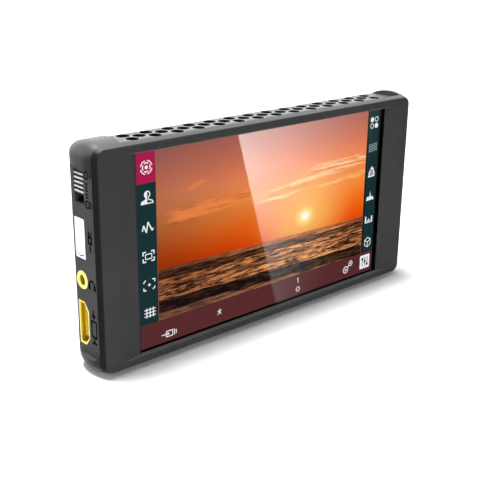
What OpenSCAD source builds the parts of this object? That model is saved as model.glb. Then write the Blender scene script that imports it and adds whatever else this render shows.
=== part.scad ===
// Camera field monitor: a slim screen in a housing whose side walls swell outwards.
// Depths are counted from the front face towards the back, and heights from the
// middle of the screen. in_housing() carries both into the part's own frame, whose
// origin is the mouth of the tripod socket.

/* [Housing] */
// Width of the front outline
face_w = 144.2; // [142:0.2:150]
// Height of the front outline
face_h = 72.5; // [72.5:0.5:80]
// Depth of the housing, front face to flat back
shell_d = 17.6; // [17.6:0.2:21]
// How far the side walls swell past the front outline
side_bulge = 1.75; // [1.2:0.05:2.2]
// Depth at which the side walls are widest
bulge_depth = 7.4; // [6:0.2:9]
// How far the back outline lies inside the front outline
back_inset = 2.6; // [1.6:0.1:2.8]
// Corner radius of the front outline
corner_r = 3.1; // [3:0.1:4.5]
// Thickness of the side walls where they are thinnest
wall = 1.6; // [1.4:0.1:1.8]
// Thickness of the back wall
back_wall = 1.8; // [1.6:0.1:2.2]
// Rounding of the front outer edge
edge_r = 0.4; // [0.2:0.1:0.6]

/* [Front frame] */
// Depth of the joint between the front frame and the rear shell
seam_depth = 2.3; // [2.2:0.1:2.5]
// Width of each cheek beside the screen
cheek_w = 13.6; // [13:0.1:16]
// Height of the frame above and below the screen
brow_h = 3; // [2.9:0.05:3.4]
// How deep the side cheeks dip towards the screen
cheek_dip = 0.9; // [0.6:0.1:1]
// Width of the sloping part of each cheek
cheek_slope_w = 7.5; // [5:0.5:10]
// Height of the slope above and below the screen
brow_slope_h = 0.7; // [0.4:0.1:1]
// Thickness of the frame's lip over the edge of the glass
lip_t = 0.3; // [0.2:0.05:0.4]
// Thickness of the rib that reaches into the rear shell
rib_t = 1.2; // [1:0.1:1.5]
// Depth of that rib past the joint
rib_reach = 1.6; // [1:0.2:2]

/* [Screen] */
// Black border at each side of the lit picture, which is 5.2 inches across the corners
side_border = 0.9; // [0.5:0.1:1.5]
// Black border above and below the lit picture
top_border = 0.2; // [0.2:0.1:0.6]
// Width that the touch glass adds round the opening, in all
glass_margin = 4; // [3.5:0.1:4.3]
// Thickness of the touch glass
glass_t = 1; // [0.8:0.1:1.1]
// Thickness of the adhesive ring under the lip
tape_t = 0.15; // [0.1:0.05:0.2]
// Thickness of the foam gasket between the touch glass and the cell
gasket_t = 0.5; // [0.3:0.1:0.5]
// Border of the liquid crystal cell beside the picture
cell_border = 1.5; // [1.2:0.1:1.6]
// Thickness of the liquid crystal cell
cell_t = 0.9; // [0.8:0.1:1]
// Thickness of the backlight
backlight_t = 1.6; // [1.4:0.1:1.8]
// Thickness of the steel bracket behind it
bracket_t = 0.45; // [0.35:0.05:0.5]

/* [Vents] */
// Diameter of a vent hole
vent_hole_d = 4.4; // [3.4:0.1:4.6]
// Distance between holes along a row
vent_pitch = 8.78; // [8.4:0.01:9]
// Distance between the rows
vent_row_gap = 2.55; // [2.4:0.05:2.7]
// Distance from the inside of the back wall to the last row's middle
vent_row_back = 2.7; // [2.5:0.1:3]
// Distance from the front outline's left end to the flat vent panel
vent_panel_left_gap = 9.6; // [8:0.2:11]
// Distance from the front outline's right end to the flat vent panel
vent_panel_right_gap = 3.6; // [3:0.2:6]
// Least margin between the holes' middles and the ends of the panel
vent_end_margin = 6; // [4:0.5:8]
// How far the vent panel lies below the front outline
vent_panel_drop = 0.25; // [0:0.05:0.3]

/* [Port panel] */
// Distance from the front outline's top to the flat port panel
port_panel_top_gap = 6.05; // [5.2:0.05:6.2]
// Distance from the front outline's bottom to the flat port panel
port_panel_bottom_gap = 3.85; // [3.2:0.05:4.2]
// Radius of the port panel's front corners
port_panel_r = 3.4; // [2:0.1:4]
// Distance from the front outline's top to the touch lock's slot
port_row_top_gap = 7.55; // [7.5:0.05:8.5]
// Distance from the front outline's bottom to the HDMI socket
port_row_bottom_gap = 6.95; // [6.6:0.05:7.5]
// The space under the touch lock is wider than the other spaces by this
lock_space_extra = 0.5; // [0:0.1:1]
// Length of the touch lock's slot
lock_slot_len = 10.4; // [9:0.1:10.8]
// Width of the touch lock's slot
lock_slot_w = 5.3; // [4.6:0.1:5.6]
// Travel of the touch lock
lock_travel = 2.5; // [2:0.1:3]
// Long outer side of the USB socket
usb_w = 13.1; // [12.9:0.1:13.3]
// Short outer side of the USB socket
usb_h = 5.4; // [5.3:0.1:5.8]
// Outer diameter of the headphone jack's ring
jack_ring_d = 6; // [5.8:0.1:6.3]
// Diameter of the headphone jack's hole
jack_bore_d = 3.6; // [3.5:0.1:3.7]
// Depth of the headphone jack's hole
jack_bore_len = 14; // [12:0.5:15]
// Long outer side of the HDMI socket
hdmi_w = 14.8; // [14.4:0.1:15]
// Short outer side of the HDMI socket
hdmi_h = 5.4; // [5.3:0.1:5.8]
// Sheet thickness of the socket shells
socket_wall = 0.35; // [0.3:0.05:0.5]

/* [Right side] */
// Height of the middle of the power button
button_z = 18; // [14:0.5:22]
// Diameter of the power button
button_d = 6.4; // [5:0.1:6.6]
// Travel of the power button
button_travel = 0.5; // [0.4:0.05:0.6]
// Height of the middle of the power socket
dc_z = -18; // [-22:0.5:-12]
// Bore of the power socket
dc_bore_d = 5.7; // [5.5:0.1:5.8]
// Diameter of the power socket's middle pin
dc_pin_d = 2; // [1.8:0.1:2.1]

/* [Base] */
// Bore of the tripod socket, the core of a quarter-inch thread
tripod_bore_d = 5.2; // [5.1:0.05:5.3]
// Length of the tripod socket's bore
tripod_bore_len = 6.4; // [5:0.2:6.6]
// Outer diameter of the threaded insert
insert_d = 7.6; // [7:0.1:7.8]
// Distance from each end of the front outline to the flat land that the monitor stands on
land_end_gap = 11.1; // [10:0.5:20]
// Distance from the joint to the land's front edge
land_front_gap = 1.1; // [0.8:0.1:1.6]
// Distance from the flat back to the land's back edge
land_back_gap = 4; // [3:0.1:4.6]
// Width of the pad round the tripod socket
pad_w = 30; // [24:1:40]

/* [Battery plate] */
// Width of the battery plate
plate_w = 40; // [38:1:44]
// How far the battery plate stays below the front outline's top, and above its bottom
plate_end_gap = 4.25; // [3.5:0.25:6]
// Thickness of the battery plate
plate_t = 2.6; // [2.4:0.1:3.2]
// Distance between the rails' stems, outside to outside
rail_span = 33; // [30:0.5:35]
// Height of the rails above the plate
rail_h = 2.6; // [2.2:0.1:3]
// Travel of the release latch
latch_travel = 1.8; // [1.4:0.1:2]

/* [Fits] */
// Clearance round a piece that slides
slide_gap = 0.1; // [0.05:0.05:0.15]
// Clearance round a piece that is set in a cut-out
fit_gap = 0.1; // [0.05:0.05:0.2]
// Diameter of every small screw's shank
screw_d = 1.9; // [1.7:0.1:2]
// Clearance of a screw in its threaded hole
screw_gap = 0.03; // [0.02:0.01:0.05]

/* [Hidden] */

$fn = 48;
eps = 0.01;

// Overall height, with the swell above and below
total_h = face_h + 2 * side_bulge;

// Screen, as wide and high as the front outline leaves it
opening_w = face_w - 2 * cheek_w;
opening_h = face_h - 2 * brow_h;
picture_w = opening_w - 2 * side_border;
picture_h = opening_h - 2 * top_border;

// Depths of the screen's layers
shelf_depth = cheek_dip + lip_t;
glass_front = shelf_depth + tape_t;
glass_back = glass_front + glass_t;
cell_front = glass_back + gasket_t;
backlight_front = cell_front + cell_t;
bracket_front = backlight_front + backlight_t;
bracket_back = bracket_front + bracket_t;
glass_w = opening_w + glass_margin;
glass_h = opening_h + glass_margin / 2;
cell_w = picture_w + 2 * cell_border;
// The gasket leaves the picture clear by this much
gasket_gap = 0.2;

// Inside of the rear shell
cavity_w = face_w - 2 * wall;
cavity_h = face_h - 2 * (vent_panel_drop + wall);
cell_edge_gap = 0.4;
cell_h = cavity_h - 2 * cell_edge_gap;
cavity_back = shell_d - back_wall;
cavity_r = 2.2;
panel_x = face_w / 2;
wall_in_x = cavity_w / 2;

// Main board: most of the depth that is to spare lies between it and the bracket
board_t = 1.2;
dc_block = dc_bore_d + 1.1;
spare_depth = cavity_back - bracket_back - board_t - dc_block;
board_gap = 0.8 * spare_depth;
board_front = bracket_back + board_gap;
board_back = board_front + board_t;
board_edge_gap = 0.7;
// The slider's and the button's flanges move beside the board
board_side_gap = 1.6;
board_corner_r = 1.5;

// Ribbons
ribbon_t = 0.15;
ribbon_gap = board_gap / 8;
display_flex_x = 8;
display_flex_w = 24;
display_flex_len = 14;
touch_flex_w = 8;
touch_flex_len = 10;

// Vents
vent_last_row = cavity_back - vent_row_back;
vent_panel_w = face_w - vent_panel_left_gap - vent_panel_right_gap;
vent_columns = floor((vent_panel_w - 2 * vent_end_margin) / vent_pitch) + 1;
vent_rib_h = 7;

// Case screws at the four corners, outside the screen's layers
column_d = 4.4;
column_x = wall_in_x - 2.2 - column_d / 2;
column_z = cavity_h / 2 - 0.2 - column_d / 2;
clear_hole_d = screw_d + 0.3;
thread_hole_d = screw_d + 2 * screw_gap;
head_d = 3.6;
head_t = 1.1;
head_sink = 1.5;
// The front columns' threaded holes start this far behind the joint
blind_t = 0.6;
tip_gap = 0.4;
case_screw_len = shell_d - head_sink - seam_depth - blind_t - tip_gap;
corner_signs = [[1, 1], [1, -1], [-1, -1], [-1, 1]];

// Bracket screws
ear_w = 5.6;
ear_x = cell_w / 2 + 5.2;
ear_z = 18;
thin_head_t = 0.6;
window_x = 24;
window_w = 26;
window_h = 34;
window_r = 3;
bracket_screw_len = bracket_back - seam_depth - tip_gap / 2;

// Board screws
board_screw_x = 44;
board_screw_z = 24;
board_screw_len = board_t + board_gap - tip_gap / 2;

// Chips, heat sink
chip_x = 32;
chip_z = 4;
chip_w = 16;
chip_t = 1.2;
memory_places = [[-28, 14], [-28, -2], [-8, 14]];
memory_w = 10;
memory_h = 8;
memory_t = 1;
plug_x = -36;
plug_z = -26;
plug_w = 16;
plug_h = 5;
plug_t = 2.2;
coil_x = -44;
coil_top_z = 9;
coil_pitch = 7;
coil_d = 5;
coil_h = 4.6;
pad_t = 0.5;
sink_w = 40;
sink_h = 28;
sink_base_t = 1.4;
sink_top_gap = 0.5;
fin_t = 0.9;
fin_count = 11;

// Touch lock
lock_slot_top = face_h / 2 - port_row_top_gap;
lock_cap_len = lock_slot_len - lock_travel - 2 * slide_gap;
lock_cap_top = lock_slot_top - slide_gap;
lock_cap_w = lock_slot_w - 2 * slide_gap;
lock_depth = board_back + 2.35;
lock_ridge_count = 5;
lock_ridge_h = 0.6;
lock_ridge_foot = 1;
lock_ridge_top = 0.44;
lock_ridge_margin = 0.35;
lock_flange_t = 1;
lock_flange_lap = 1.1;
lock_flange_side = 0.8;
fork_t = 1;
fork_w = 3.2;
fork_reach = 1.4;
lock_switch_gap = 1.6;
lock_switch_set = 1.6;
knob_w = 1.4;
knob_len = 2.2;
knob_z = lock_cap_top - lock_cap_len / 2;

// Sockets
socket_proud = 0.15;
socket_lift = 0.3;
port_depth = board_back + socket_lift + usb_h / 2;
port_space = (face_h - port_row_top_gap - port_row_bottom_gap - lock_slot_len - usb_w
    - jack_ring_d - hdmi_w - lock_space_extra) / 3;
usb_z = lock_slot_top - lock_slot_len - lock_space_extra - port_space - usb_w / 2;
jack_z = usb_z - usb_w / 2 - port_space - jack_ring_d / 2;
hdmi_z = -face_h / 2 + port_row_bottom_gap + hdmi_w / 2;
socket_x = -panel_x - socket_proud;
usb_outline_r = 0.5;
usb_len = 14;
usb_tongue_t = 1.84;
usb_tongue_w = 11.1;
usb_tongue_set = 0.9;
usb_tongue_back = 4;
plug_face_t = 0.6;
plug_skirt_t = 0.4;
plug_skirt_len = 4.5;
nail_r = 2.3;
nail_line = 0.45;
nail_sink = 0.25;
nail_end_gap = 0.55;
hdmi_len = 11.6;
hdmi_corner_z = 2.7;
hdmi_corner_y = 2.1;
hdmi_tongue_t = 1.6;
hdmi_tongue_w = 10.4;
hdmi_tongue_set = 1.2;
hdmi_tongue_back = 3;
jack_proud = 0.4;
jack_lift = 0.15;
jack_block = 5.8;
jack_depth = board_back + jack_lift + jack_block / 2;
jack_body_x = -wall_in_x + 0.4;

// Power button and socket
button_proud = 0.5;
button_flange_d = button_d + 1.6;
button_depth = cavity_back - button_flange_d / 2 - 2 * slide_gap;
button_flange_t = 0.8;
switch_len = 3.4;
switch_side = 5.2;
plunger_d = 2.6;
plunger_out = 0.9;
plunger_in = 1.2;
// End of the switch that faces the button
switch_face = wall_in_x - slide_gap - button_flange_t - plunger_out;
dc_len = 13;
dc_floor_x = wall_in_x - dc_len + 3;
dc_depth = board_back + dc_block / 2;

// Tripod socket, halfway between the bracket and the flat back
tripod_depth = (bracket_back + shell_d) / 2;
insert_len = 7;
insert_boss_d = insert_d + 1.8;
insert_boss_top = -total_h / 2 + insert_len + 1;
land_r = 2;

// Battery plate
plate_h = face_h - 2 * plate_end_gap;
plate_r = 4;
plate_field_t = 0.6;
plate_field_h = 26;
rail_len = 12;
rail_stem = 1.6;
rail_lip = 1.2;
rail_cap_t = 1;
rail_places = [15, -9];
plate_screw_x = 12.5;
plate_screw_z = plate_h / 2 - 4.5;
plate_screw_len = 4.2;
plate_boss_d = 4.6;
terminal_w = 19;
terminal_h = 6.4;
terminal_neck_w = terminal_w - 4;
terminal_neck_h = terminal_h - 2;
terminal_z = -plate_h / 2 + 13.6;
terminal_proud = 3.4;
blade_w = 0.8;
blade_h = 2.8;
blade_gap = 5.2;
blade_count = 3;
blade_front = cavity_back - 1.2;
lead_d = 1.2;
latch_w = 10;
latch_h = 5.6;
latch_z = plate_h / 2 - 8.6;
latch_proud = 2.2;
latch_flange = 1.3;
latch_flange_t = 0.8;
latch_well_wall = 1;
spring_rest = 1.6;
spring_space = latch_travel + spring_rest;
spring_d = 4.2;
spring_wire = 0.5;
spring_turns = 2;

// ---- Outline of the housing ------------------------------------------------

// How far the side wall lies outside the front outline at depth d
function swell(d) = d <= bulge_depth
    ? side_bulge * sin(90 * d / bulge_depth)
    : side_bulge - (side_bulge + back_inset)
        * (1 - sqrt(max(0, 1 - pow((d - bulge_depth) / (shell_d - bulge_depth), 2))));

// The rounding of the front edge takes this much off
function edge_round(d) = d < edge_r ? edge_r - sqrt(edge_r * edge_r - pow(edge_r - d, 2)) : 0;

// Depths at which the profile has a point, between d0 and d1
function stations(d0, d1) = concat(
    [d0],
    [for (a = [30 : 30 : 90]) let (d = edge_r * (1 - cos(a))) if (d > d0 && d < d1) d],
    [for (i = [1 : 7]) let (d = bulge_depth * i / 7) if (d > d0 + eps && d < d1 - eps) d],
    [for (a = [10 : 10 : 80]) let (d = bulge_depth + (shell_d - bulge_depth) * sin(a))
        if (d > d0 + eps && d < d1 - eps) d],
    [d1]
);

// The swelled wall swept round a rounded rectangle, from depth d0 to depth d1
module swelled(d0, d1) {
    places = stations(d0, d1);
    straight_x = face_w / 2 - corner_r;
    straight_z = face_h / 2 - corner_r;
    // Middle, with the top and bottom walls
    rotate([90, 0, 90])
        linear_extrude(2 * straight_x, center = true)
            polygon(concat(
                [for (d = places) [d, face_h / 2 + swell(d) - edge_round(d)]],
                [for (i = [len(places) - 1 : -1 : 0]) let (d = places[i])
                    [d, -face_h / 2 - swell(d) + edge_round(d)]]
            ));
    // Side walls
    for (side = [0, 1])
        mirror([side, 0, 0])
            linear_extrude(2 * straight_z, center = true)
                polygon(concat(
                    [[straight_x, d0]],
                    [for (d = places) [face_w / 2 + swell(d) - edge_round(d), d]],
                    [[straight_x, d1]]
                ));
    // Corners
    for (q = [[1, -1, 0], [-1, -1, 90], [-1, 1, 180], [1, 1, 270]])
        translate([q[0] * straight_x, 0, q[1] * straight_z])
            rotate([0, q[2], 0])
                rotate([-90, 0, 0])
                    rotate_extrude(angle = 90)
                        polygon(concat(
                            [[0, d0]],
                            [for (d = places) [corner_r + swell(d) - edge_round(d), d]],
                            [[0, d1]]
                        ));
}

// ---- Small helpers ---------------------------------------------------------

module in_housing()
    translate([0, -tripod_depth, total_h / 2])
        children();

module rounded_rect(w, h, r) {
    square([w - 2 * r, h], center = true);
    square([w, h - 2 * r], center = true);
    for (s = corner_signs)
        translate([s[0] * (w / 2 - r), s[1] * (h / 2 - r)])
            circle(r);
}

// An outline drawn in width and height, given thickness from depth d0 to depth d1
module sheet(d0, d1)
    translate([0, d1, 0])
        rotate([90, 0, 0])
            linear_extrude(d1 - d0)
                children();

// An outline drawn in depth and height, given thickness from x0 to x1
module side_sheet(x0, x1)
    translate([x0, 0, 0])
        rotate([90, 0, 90])
            linear_extrude(x1 - x0)
                children();

// A round bar along the depth
module depth_bar(d, d0, d1)
    translate([0, d0, 0])
        rotate([-90, 0, 0])
            cylinder(d = d, h = d1 - d0);

// A round bar along the width
module width_bar(d, x0, x1)
    translate([x0, 0, 0])
        rotate([0, 90, 0])
            cylinder(d = d, h = x1 - x0);

// A cuboid by its lowest corner and its highest corner
module block(low, high)
    translate(low)
        cube(high - low);

module at_corners(x, z)
    for (s = corner_signs)
        translate([s[0] * x, 0, s[1] * z])
            children();

// A screw along the depth: its head lies at head_depth and is driven from the back
module back_screw(head_depth, length, head_h, d_head) {
    difference() {
        depth_bar(d_head, head_depth, head_depth + head_h);
        translate([0, head_depth + head_h / 2, 0])
            for (a = [0, 90])
                rotate([0, a, 0])
                    block([-0.28 * d_head, 0, -0.25], [0.28 * d_head, head_h, 0.25]);
    }
    depth_bar(screw_d, head_depth - length, head_depth);
}

// ---- Front frame -----------------------------------------------------------

// The shallow dish that leads from the cheeks down to the screen
module scoop() {
    intersection() {
        linear_extrude(face_h, center = true)
            polygon([
                [-opening_w / 2 - cheek_slope_w, 0], [-opening_w / 2, cheek_dip],
                [opening_w / 2, cheek_dip], [opening_w / 2 + cheek_slope_w, 0],
                [opening_w / 2 + cheek_slope_w, -1], [-opening_w / 2 - cheek_slope_w, -1]
            ]);
        rotate([90, 0, 90])
            linear_extrude(face_w, center = true)
                polygon([
                    [0, -opening_h / 2 - brow_slope_h], [cheek_dip, -opening_h / 2],
                    [cheek_dip, opening_h / 2], [0, opening_h / 2 + brow_slope_h],
                    [-1, opening_h / 2 + brow_slope_h], [-1, -opening_h / 2 - brow_slope_h]
                ]);
    }
}

module frame_rib() {
    rib_w = cavity_w - 2 * fit_gap;
    rib_h = cavity_h - 2 * fit_gap;
    difference() {
        sheet(seam_depth - eps, seam_depth + rib_reach)
            rounded_rect(rib_w, rib_h, cavity_r);
        sheet(seam_depth - 1, seam_depth + rib_reach + 1)
            square([rib_w - 2 * rib_t, rib_h - 2 * rib_t], center = true);
        // The screen's layers fill the height between the cheeks
        sheet(seam_depth - 1, seam_depth + rib_reach + 1)
            square([glass_w, face_h], center = true);
    }
}

module front_frame() {
    color("dimgray")
    in_housing() {
        difference() {
            swelled(0, seam_depth);
            scoop();
            sheet(-1, shelf_depth + eps)
                square([opening_w, opening_h], center = true);
            sheet(shelf_depth, seam_depth + 1)
                rounded_rect(glass_w + 2 * fit_gap, glass_h + 2 * fit_gap, 1);
        }
        frame_rib();
        at_corners(column_x, column_z)
            difference() {
                depth_bar(column_d, seam_depth - eps, board_front);
                depth_bar(thread_hole_d, seam_depth + blind_t, board_front + 1);
            }
        at_corners(ear_x, ear_z)
            difference() {
                depth_bar(ear_w - 1, seam_depth - eps, bracket_front);
                depth_bar(thread_hole_d, seam_depth, bracket_front + 1);
            }
    }
}

// ---- Rear shell ------------------------------------------------------------

// Place along the width of hole i in a full row
function vent_hole_x(i) = (vent_panel_left_gap - vent_panel_right_gap) / 2
    + (i - (vent_columns - 1) / 2) * vent_pitch;

// Three staggered rows, the middle one with a hole less
module vent_pattern()
    for (row = [0 : 2])
        for (i = [0 : vent_columns - 1 - row % 2])
            translate([
                vent_hole_x(i + (row % 2) / 2),
                vent_last_row - (2 - row) * vent_row_gap,
                face_h / 2 - 2 * wall - vent_panel_drop
            ])
                cylinder(d = vent_hole_d, h = 3 * wall, $fn = 32);

// Ribs inside, under four holes of the last row
module vent_ribs()
    for (i = [0, 4, 9, vent_columns - 1])
        translate([vent_hole_x(i), 0, 0])
            block([-wall / 2, vent_last_row - 0.6, cavity_h / 2 - vent_rib_h],
                [wall / 2, cavity_back + eps, cavity_h / 2 - 0.9]);

module port_panel_cut()
    side_sheet(-face_w, -panel_x)
        translate([seam_depth + shell_d / 2, (port_panel_bottom_gap - port_panel_top_gap) / 2])
            rounded_rect(shell_d, face_h - port_panel_top_gap - port_panel_bottom_gap,
                port_panel_r);

module hdmi_outline(grow)
    translate([port_depth, hdmi_z])
        polygon([
            [hdmi_h / 2 + grow, -hdmi_w / 2 - grow],
            [hdmi_h / 2 + grow, hdmi_w / 2 + grow],
            [-hdmi_h / 2 + hdmi_corner_y, hdmi_w / 2 + grow],
            [-hdmi_h / 2 - grow, hdmi_w / 2 - hdmi_corner_z + grow / 2],
            [-hdmi_h / 2 - grow, -hdmi_w / 2 + hdmi_corner_z - grow / 2],
            [-hdmi_h / 2 + hdmi_corner_y, -hdmi_w / 2 - grow]
        ]);

module usb_outline(grow)
    translate([port_depth, usb_z])
        rounded_rect(usb_h + 2 * grow, usb_w + 2 * grow, usb_outline_r);

module left_cutouts() {
    through = [-panel_x - 1, -wall_in_x + 2];
    side_sheet(through[0], through[1]) usb_outline(fit_gap);
    side_sheet(through[0], through[1]) hdmi_outline(fit_gap);
    translate([0, jack_depth, jack_z])
        width_bar(jack_ring_d + 2 * fit_gap, through[0], through[1]);
    block([through[0], lock_depth - lock_slot_w / 2, lock_slot_top - lock_slot_len],
        [through[1], lock_depth + lock_slot_w / 2, lock_slot_top]);
}

module right_cutouts() {
    translate([0, button_depth, button_z])
        width_bar(button_d + 2 * slide_gap, wall_in_x - 1, panel_x + 1);
    translate([0, dc_depth, dc_z])
        width_bar(dc_bore_d + 0.5, wall_in_x - 1, panel_x + 1);
}

// The flat land along the bottom, level with the widest part of the swell
module base_land() {
    land_front = seam_depth + land_front_gap;
    land_back = shell_d - land_back_gap;
    pad_back = tripod_depth + insert_boss_d / 2;
    translate([0, 0, -total_h / 2])
        linear_extrude(side_bulge + wall) {
            translate([0, (land_front + land_back) / 2])
                rounded_rect(face_w - 2 * land_end_gap, land_back - land_front, land_r);
            translate([0, (land_front + pad_back) / 2])
                rounded_rect(pad_w, pad_back - land_front, land_r);
        }
}

module latch_well(grow, deep)
    translate([0, 0, latch_z])
        sheet(shell_d - latch_flange_t - spring_space - deep, shell_d + 1)
            square([latch_w + 2 * (latch_flange + grow), latch_h + 2 * (latch_flange + grow)],
                center = true);

module rear_shell() {
    color("dimgray")
    in_housing()
        difference() {
            union() {
                difference() {
                    union() {
                        swelled(seam_depth, shell_d);
                        base_land();
                    }
                    // Flat vent panel along the top
                    block([-face_w / 2 + vent_panel_left_gap, seam_depth - 1,
                            face_h / 2 - vent_panel_drop],
                        [face_w / 2 - vent_panel_right_gap, shell_d + 1, face_h]);
                    port_panel_cut();
                    mirror([1, 0, 0]) port_panel_cut();
                    // Inside
                    sheet(seam_depth - 1, cavity_back)
                        rounded_rect(cavity_w, cavity_h, cavity_r);
                    vent_pattern();
                }
                at_corners(column_x, column_z)
                    depth_bar(column_d, board_back, cavity_back + eps);
                at_corners(plate_screw_x, plate_screw_z)
                    depth_bar(plate_boss_d, cavity_back - 2.4, cavity_back + eps);
                vent_ribs();
                // Boss round the tripod socket
                translate([0, tripod_depth, -total_h / 2 + 0.5])
                    cylinder(d = insert_boss_d, h = insert_boss_top + total_h / 2 - 0.5);
                intersection() {
                    latch_well(latch_well_wall, latch_well_wall);
                    sheet(0, shell_d - 0.5) square([face_w / 2, face_h], center = true);
                }
            }
            left_cutouts();
            right_cutouts();
            at_corners(column_x, column_z) {
                depth_bar(clear_hole_d, board_back - 1, shell_d + 1);
                depth_bar(head_d + 0.4, shell_d - head_sink, shell_d + 1);
            }
            at_corners(plate_screw_x, plate_screw_z)
                depth_bar(thread_hole_d, cavity_back - 3, shell_d + 1);
            translate([0, tripod_depth, -total_h / 2 - 1])
                cylinder(d = insert_d + 2 * screw_gap, h = insert_len + 1);
            latch_well(slide_gap, 0);
            // The terminal block passes through the back wall
            translate([0, 0, terminal_z])
                sheet(cavity_back - 1, shell_d + 1)
                    square([terminal_neck_w + 2 * fit_gap, terminal_neck_h + 2 * fit_gap],
                        center = true);
        }
}

// ---- Screen ----------------------------------------------------------------

module touch_glass()
    color("black")
    in_housing()
        sheet(glass_front, glass_back)
            rounded_rect(glass_w, glass_h, 1);

module glass_tape()
    color("black")
    in_housing()
        difference() {
            sheet(shelf_depth, glass_front)
                rounded_rect(glass_w, glass_h, 1);
            sheet(0, glass_front + 1)
                square([opening_w + 0.4, opening_h + 0.4], center = true);
        }

// Holds the cell off the touch glass and keeps dust out
module cell_gasket()
    color("black")
    in_housing()
        difference() {
            sheet(glass_back, cell_front)
                square([cell_w, cell_h], center = true);
            sheet(glass_back - 1, cell_front + 1)
                square([picture_w + 2 * gasket_gap, picture_h + 2 * gasket_gap], center = true);
        }

module lcd_cell()
    color("midnightblue")
    in_housing() {
        sheet(cell_front, cell_front + cell_t / 2)
            square([cell_w, cell_h], center = true);
        // The rear pane is shorter and leaves the driver ledge
        sheet(cell_front + cell_t / 2, backlight_front)
            translate([0, 0.6])
                square([cell_w, cell_h - 1.2], center = true);
    }

module backlight()
    color("white")
    in_housing()
        difference() {
            sheet(backlight_front, bracket_front)
                rounded_rect(cell_w, cell_h, 0.8);
            // Channel for the lamp strip along the lower edge
            block([-picture_w / 2, backlight_front - 1, -cell_h / 2 + 0.6],
                [picture_w / 2, backlight_front + 0.5, -cell_h / 2 + 1.6]);
        }

module bracket_outline() {
    square([cell_w, cell_h], center = true);
    for (s = corner_signs)
        translate([s[0] * ear_x, s[1] * ear_z]) {
            circle(d = ear_w);
            translate([s[0] > 0 ? -ear_w : 0, -ear_w / 2])
                square([ear_w, ear_w]);
        }
}

module screen_bracket()
    color("silver")
    in_housing()
        difference() {
            union() {
                sheet(bracket_front, bracket_back)
                    bracket_outline();
                at_corners(board_screw_x, board_screw_z)
                    depth_bar(4, bracket_back - eps, board_front);
            }
            at_corners(ear_x, ear_z)
                depth_bar(clear_hole_d, bracket_front - 1, bracket_back + 1);
            at_corners(board_screw_x, board_screw_z)
                depth_bar(thread_hole_d, bracket_front - 1, board_front + 1);
            // Lightening windows
            for (side = [-1, 1])
                translate([side * window_x, 0, 0])
                    sheet(bracket_front - 1, bracket_back + 1)
                        rounded_rect(window_w, window_h, window_r);
        }

module bracket_screws()
    color("silver")
    in_housing()
        at_corners(ear_x, ear_z)
            back_screw(bracket_back, bracket_screw_len, thin_head_t, head_d - 0.4);

// A ribbon that leaves the cell's lower edge and folds back behind the bracket
module display_flex() {
    low = -(cell_h + cavity_h) / 4 + ribbon_t / 2;
    near = cell_front + cell_t / 2 + 0.05;
    far = bracket_back + ribbon_gap;
    color("goldenrod")
    in_housing()
        side_sheet(display_flex_x, display_flex_x + display_flex_w)
            polygon([
                [near, -cell_h / 2], [near, low - ribbon_t],
                [far + ribbon_t, low - ribbon_t], [far + ribbon_t, low + display_flex_len],
                [far, low + display_flex_len], [far, low], [near + ribbon_t, low],
                [near + ribbon_t, -cell_h / 2]
            ]);
}

// A ribbon from the touch glass round the cell's left edge
module touch_flex() {
    outer = cell_w / 2 + 0.5;
    far = bracket_back + ribbon_gap;
    color("goldenrod")
    in_housing()
        linear_extrude(touch_flex_w, center = true)
            polygon([
                [-outer, glass_back], [-outer, far], [-outer + touch_flex_len, far],
                [-outer + touch_flex_len, far + ribbon_t], [-outer - ribbon_t, far + ribbon_t],
                [-outer - ribbon_t, glass_back]
            ]);
}

// ---- Electronics -----------------------------------------------------------

module main_board()
    color("darkgreen")
    in_housing()
        sheet(board_front, board_back)
            difference() {
                rounded_rect(cavity_w - 2 * board_side_gap, cavity_h - 2 * board_edge_gap,
                    board_corner_r);
                // Notch for the tripod boss
                translate([0, insert_boss_top - 10])
                    square([insert_boss_d + 2, 22], center = true);
                for (s = corner_signs) {
                    translate([s[0] * column_x, s[1] * column_z])
                        circle(d = clear_hole_d);
                    translate([s[0] * board_screw_x, s[1] * board_screw_z])
                        circle(d = clear_hole_d);
                    // Room for the heads of the bracket's screws
                    translate([s[0] * ear_x, s[1] * ear_z])
                        circle(d = head_d);
                }
            }

module board_screws()
    color("silver")
    in_housing()
        at_corners(board_screw_x, board_screw_z)
            back_screw(board_back, board_screw_len, head_t, head_d);

module board_chips()
    color("black")
    in_housing() {
        translate([chip_x, 0, chip_z])
            block([-chip_w / 2, board_back, -chip_w / 2], [chip_w / 2, board_back + chip_t, chip_w / 2]);
        for (place = memory_places)
            translate([place[0], 0, place[1]])
                block([-memory_w / 2, board_back, -memory_h / 2],
                    [memory_w / 2, board_back + memory_t, memory_h / 2]);
        for (i = [0 : 3])
            translate([coil_x, 0, coil_top_z - coil_pitch * i])
                depth_bar(coil_d, board_back, board_back + coil_h);
        // Connector for the ribbons
        translate([plug_x, 0, plug_z])
            block([0, board_back, 0], [plug_w, board_back + plug_t, plug_h]);
    }

module thermal_pad()
    color("lightsteelblue")
    in_housing()
        translate([chip_x, 0, chip_z])
            block([-chip_w / 2, board_back + chip_t, -chip_w / 2],
                [chip_w / 2, board_back + chip_t + pad_t, chip_w / 2]);

module heat_sink() {
    base_depth = board_back + chip_t + pad_t;
    fin_end = cavity_back - sink_top_gap;
    color("silver")
    in_housing()
        translate([chip_x, 0, chip_z]) {
            block([-sink_w / 2, base_depth, -sink_h / 2],
                [sink_w / 2, base_depth + sink_base_t, sink_h / 2]);
            for (i = [0 : fin_count - 1])
                translate([-sink_w / 2 + i * (sink_w - fin_t) / (fin_count - 1), 0, 0])
                    block([0, base_depth, -sink_h / 2], [fin_t, fin_end, sink_h / 2]);
        }
}

// ---- Left side: touch lock and sockets ---------------------------------------

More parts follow.
